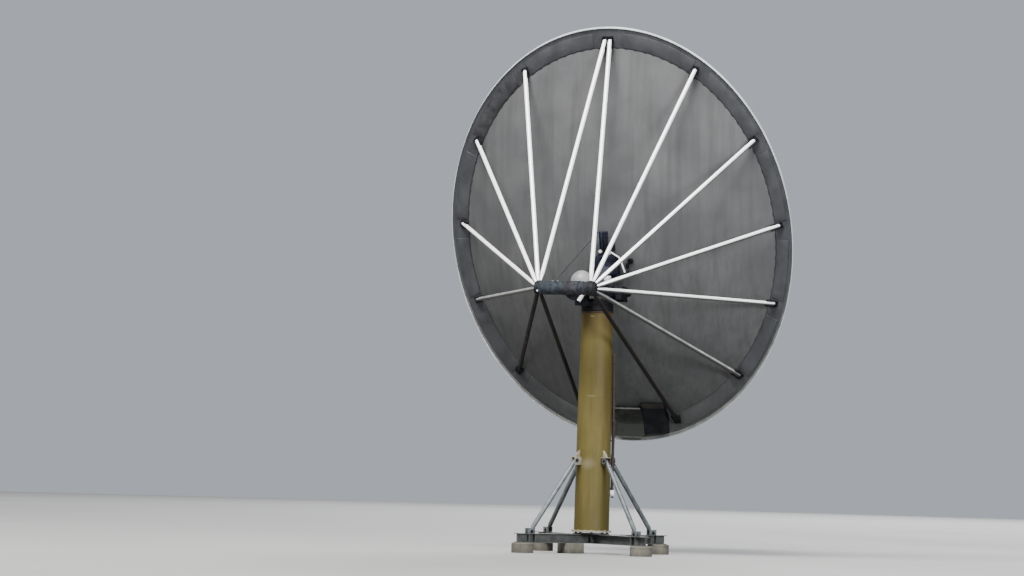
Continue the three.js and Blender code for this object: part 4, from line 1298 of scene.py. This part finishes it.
def conduit_riser():
    """The conduit's upper length, with two straps and the fitting where it enters the mast."""
    top = 3.280
    face = mast_radius(top)
    low, high = Vector((CONDUIT_X - 0.004, 0, 2.205)), Vector((face + 0.026, 0, top))
    run = high - low
    pipe = turned("riser", [(0, 0.020), (0.02, 0.022), (run.length - 0.012, 0.022),
                            (run.length, 0.016)], 20)
    straps = [mast_clip("strap", height, height, mast_radius(height) + 0.050, 0.032, 0.024)
              for height in (2.72, 3.14)]
    entry = block("entry", (face - 0.002, -0.024, 3.250), (face + 0.052, 0.024, 3.296), 0.008)
    parts = [placed(pipe, along(low, run)), entry] + straps
    riser = painted(joined("conduit_riser", parts), BROWN)
    finished(placed(riser, MAST @ swung(CONDUIT_ANGLE)), "base", "stained_steel")


# Stage

def soft_lamp(name, spot, size, energy, colour):
    lamp = bpy.data.lights.new(name, "AREA")
    lamp.shape = "DISK"
    lamp.size = size
    lamp.energy = energy
    lamp.color = colour
    stand = bpy.data.objects.new(name, lamp)
    stand.location = spot
    aim = Vector((0, 1, 4)) - stand.location
    stand.rotation_euler = aim.to_track_quat("-Z", "Y").to_euler()
    bpy.context.scene.collection.objects.link(stand)


def studio():
    deselect()
    bpy.ops.mesh.primitive_circle_add(vertices=96, radius=60, fill_type="NGON",
                                      location=(0, MAST_Y, 0))
    pale = weathered("pale_floor", (0.185, 0.184, 0.179), (0.205, 0.204, 0.199), 0.9, patch=0.2)
    painted(settled("studio_floor"), pale)
    world = bpy.data.worlds.new("studio_air")
    world.use_nodes = True
    air = world.node_tree.nodes["Background"]
    plug(world.node_tree, air.inputs["Color"], (0.78, 0.84, 0.92, 1))
    plug(world.node_tree, air.inputs["Strength"], 0.55)
    bpy.context.scene.world = world
    soft_lamp("key_light", (4, 26, 42), 34, 84000, (1.0, 0.985, 0.96))
    soft_lamp("side_light", (-44, 36, 14), 16, 34000, (0.94, 0.97, 1.0))
    soft_lamp("front_light", (8, -52, 26), 30, 52000, (0.97, 0.98, 1.0))


def photo_camera():
    lens = bpy.data.cameras.new("photo_camera")
    lens.sensor_width = 36
    lens.lens = 158.2
    lens.clip_end = 1000
    camera = bpy.data.objects.new("photo_camera", lens)
    right = Vector((-0.91952, -0.39207, 0.02768))
    up = Vector((0.01162, 0.04326, 0.99900))
    forward = Vector((0.39287, -0.91892, 0.03522))
    camera.matrix_world = frame_at(right, up, -forward, Vector((-27.833, 70.422, 1.720)))
    bpy.context.scene.collection.objects.link(camera)
    bpy.context.scene.camera = camera


photo_camera()
studio()

primary_skin()
rim_flange()
rim_stiffeners()
edge_shadow_ring()
rim_screws()
for side in SIDE_NAMES:
    for number, degrees in enumerate(STRUT_ANGLES, 1):
        strut(number, degrees, side)
    hub(side)
    secondary_stay(side)
cross_tube()
clamp_sleeve()
centre_support()
back_rail()
centre_box()
vent_pipe()
port()
pale_fittings()
tie_rod()
grease_cap()
rim_box_trim()
secondary()
shroud_battens()
feed()

azimuth_housing()
yoke_bolts()
elevation_shaft()
elevation_gearbox()
elevation_motor()
drive_column()
dome()
azimuth_motor()

pedestal()
pedestal_flanges()
levelling_plate()
for number in range(4):
    brace(number)
    pier(number)
centre_block()
beam_fittings()
cable_conduit()
conduit_riser()

coated(GALVANISED, "base_beam_main", "base_beam_cross_rear", "base_beam_cross_front")
coated(STEEL, "feed_saddle")
coated(DARK, "elevation_arm_left", "elevation_arm_right", "elevation_yoke", "rim_box_right")
coated(BOX, "rim_box_left")
coated(SHROUD, "shroud_right", "shroud_bottom", "shroud_left")
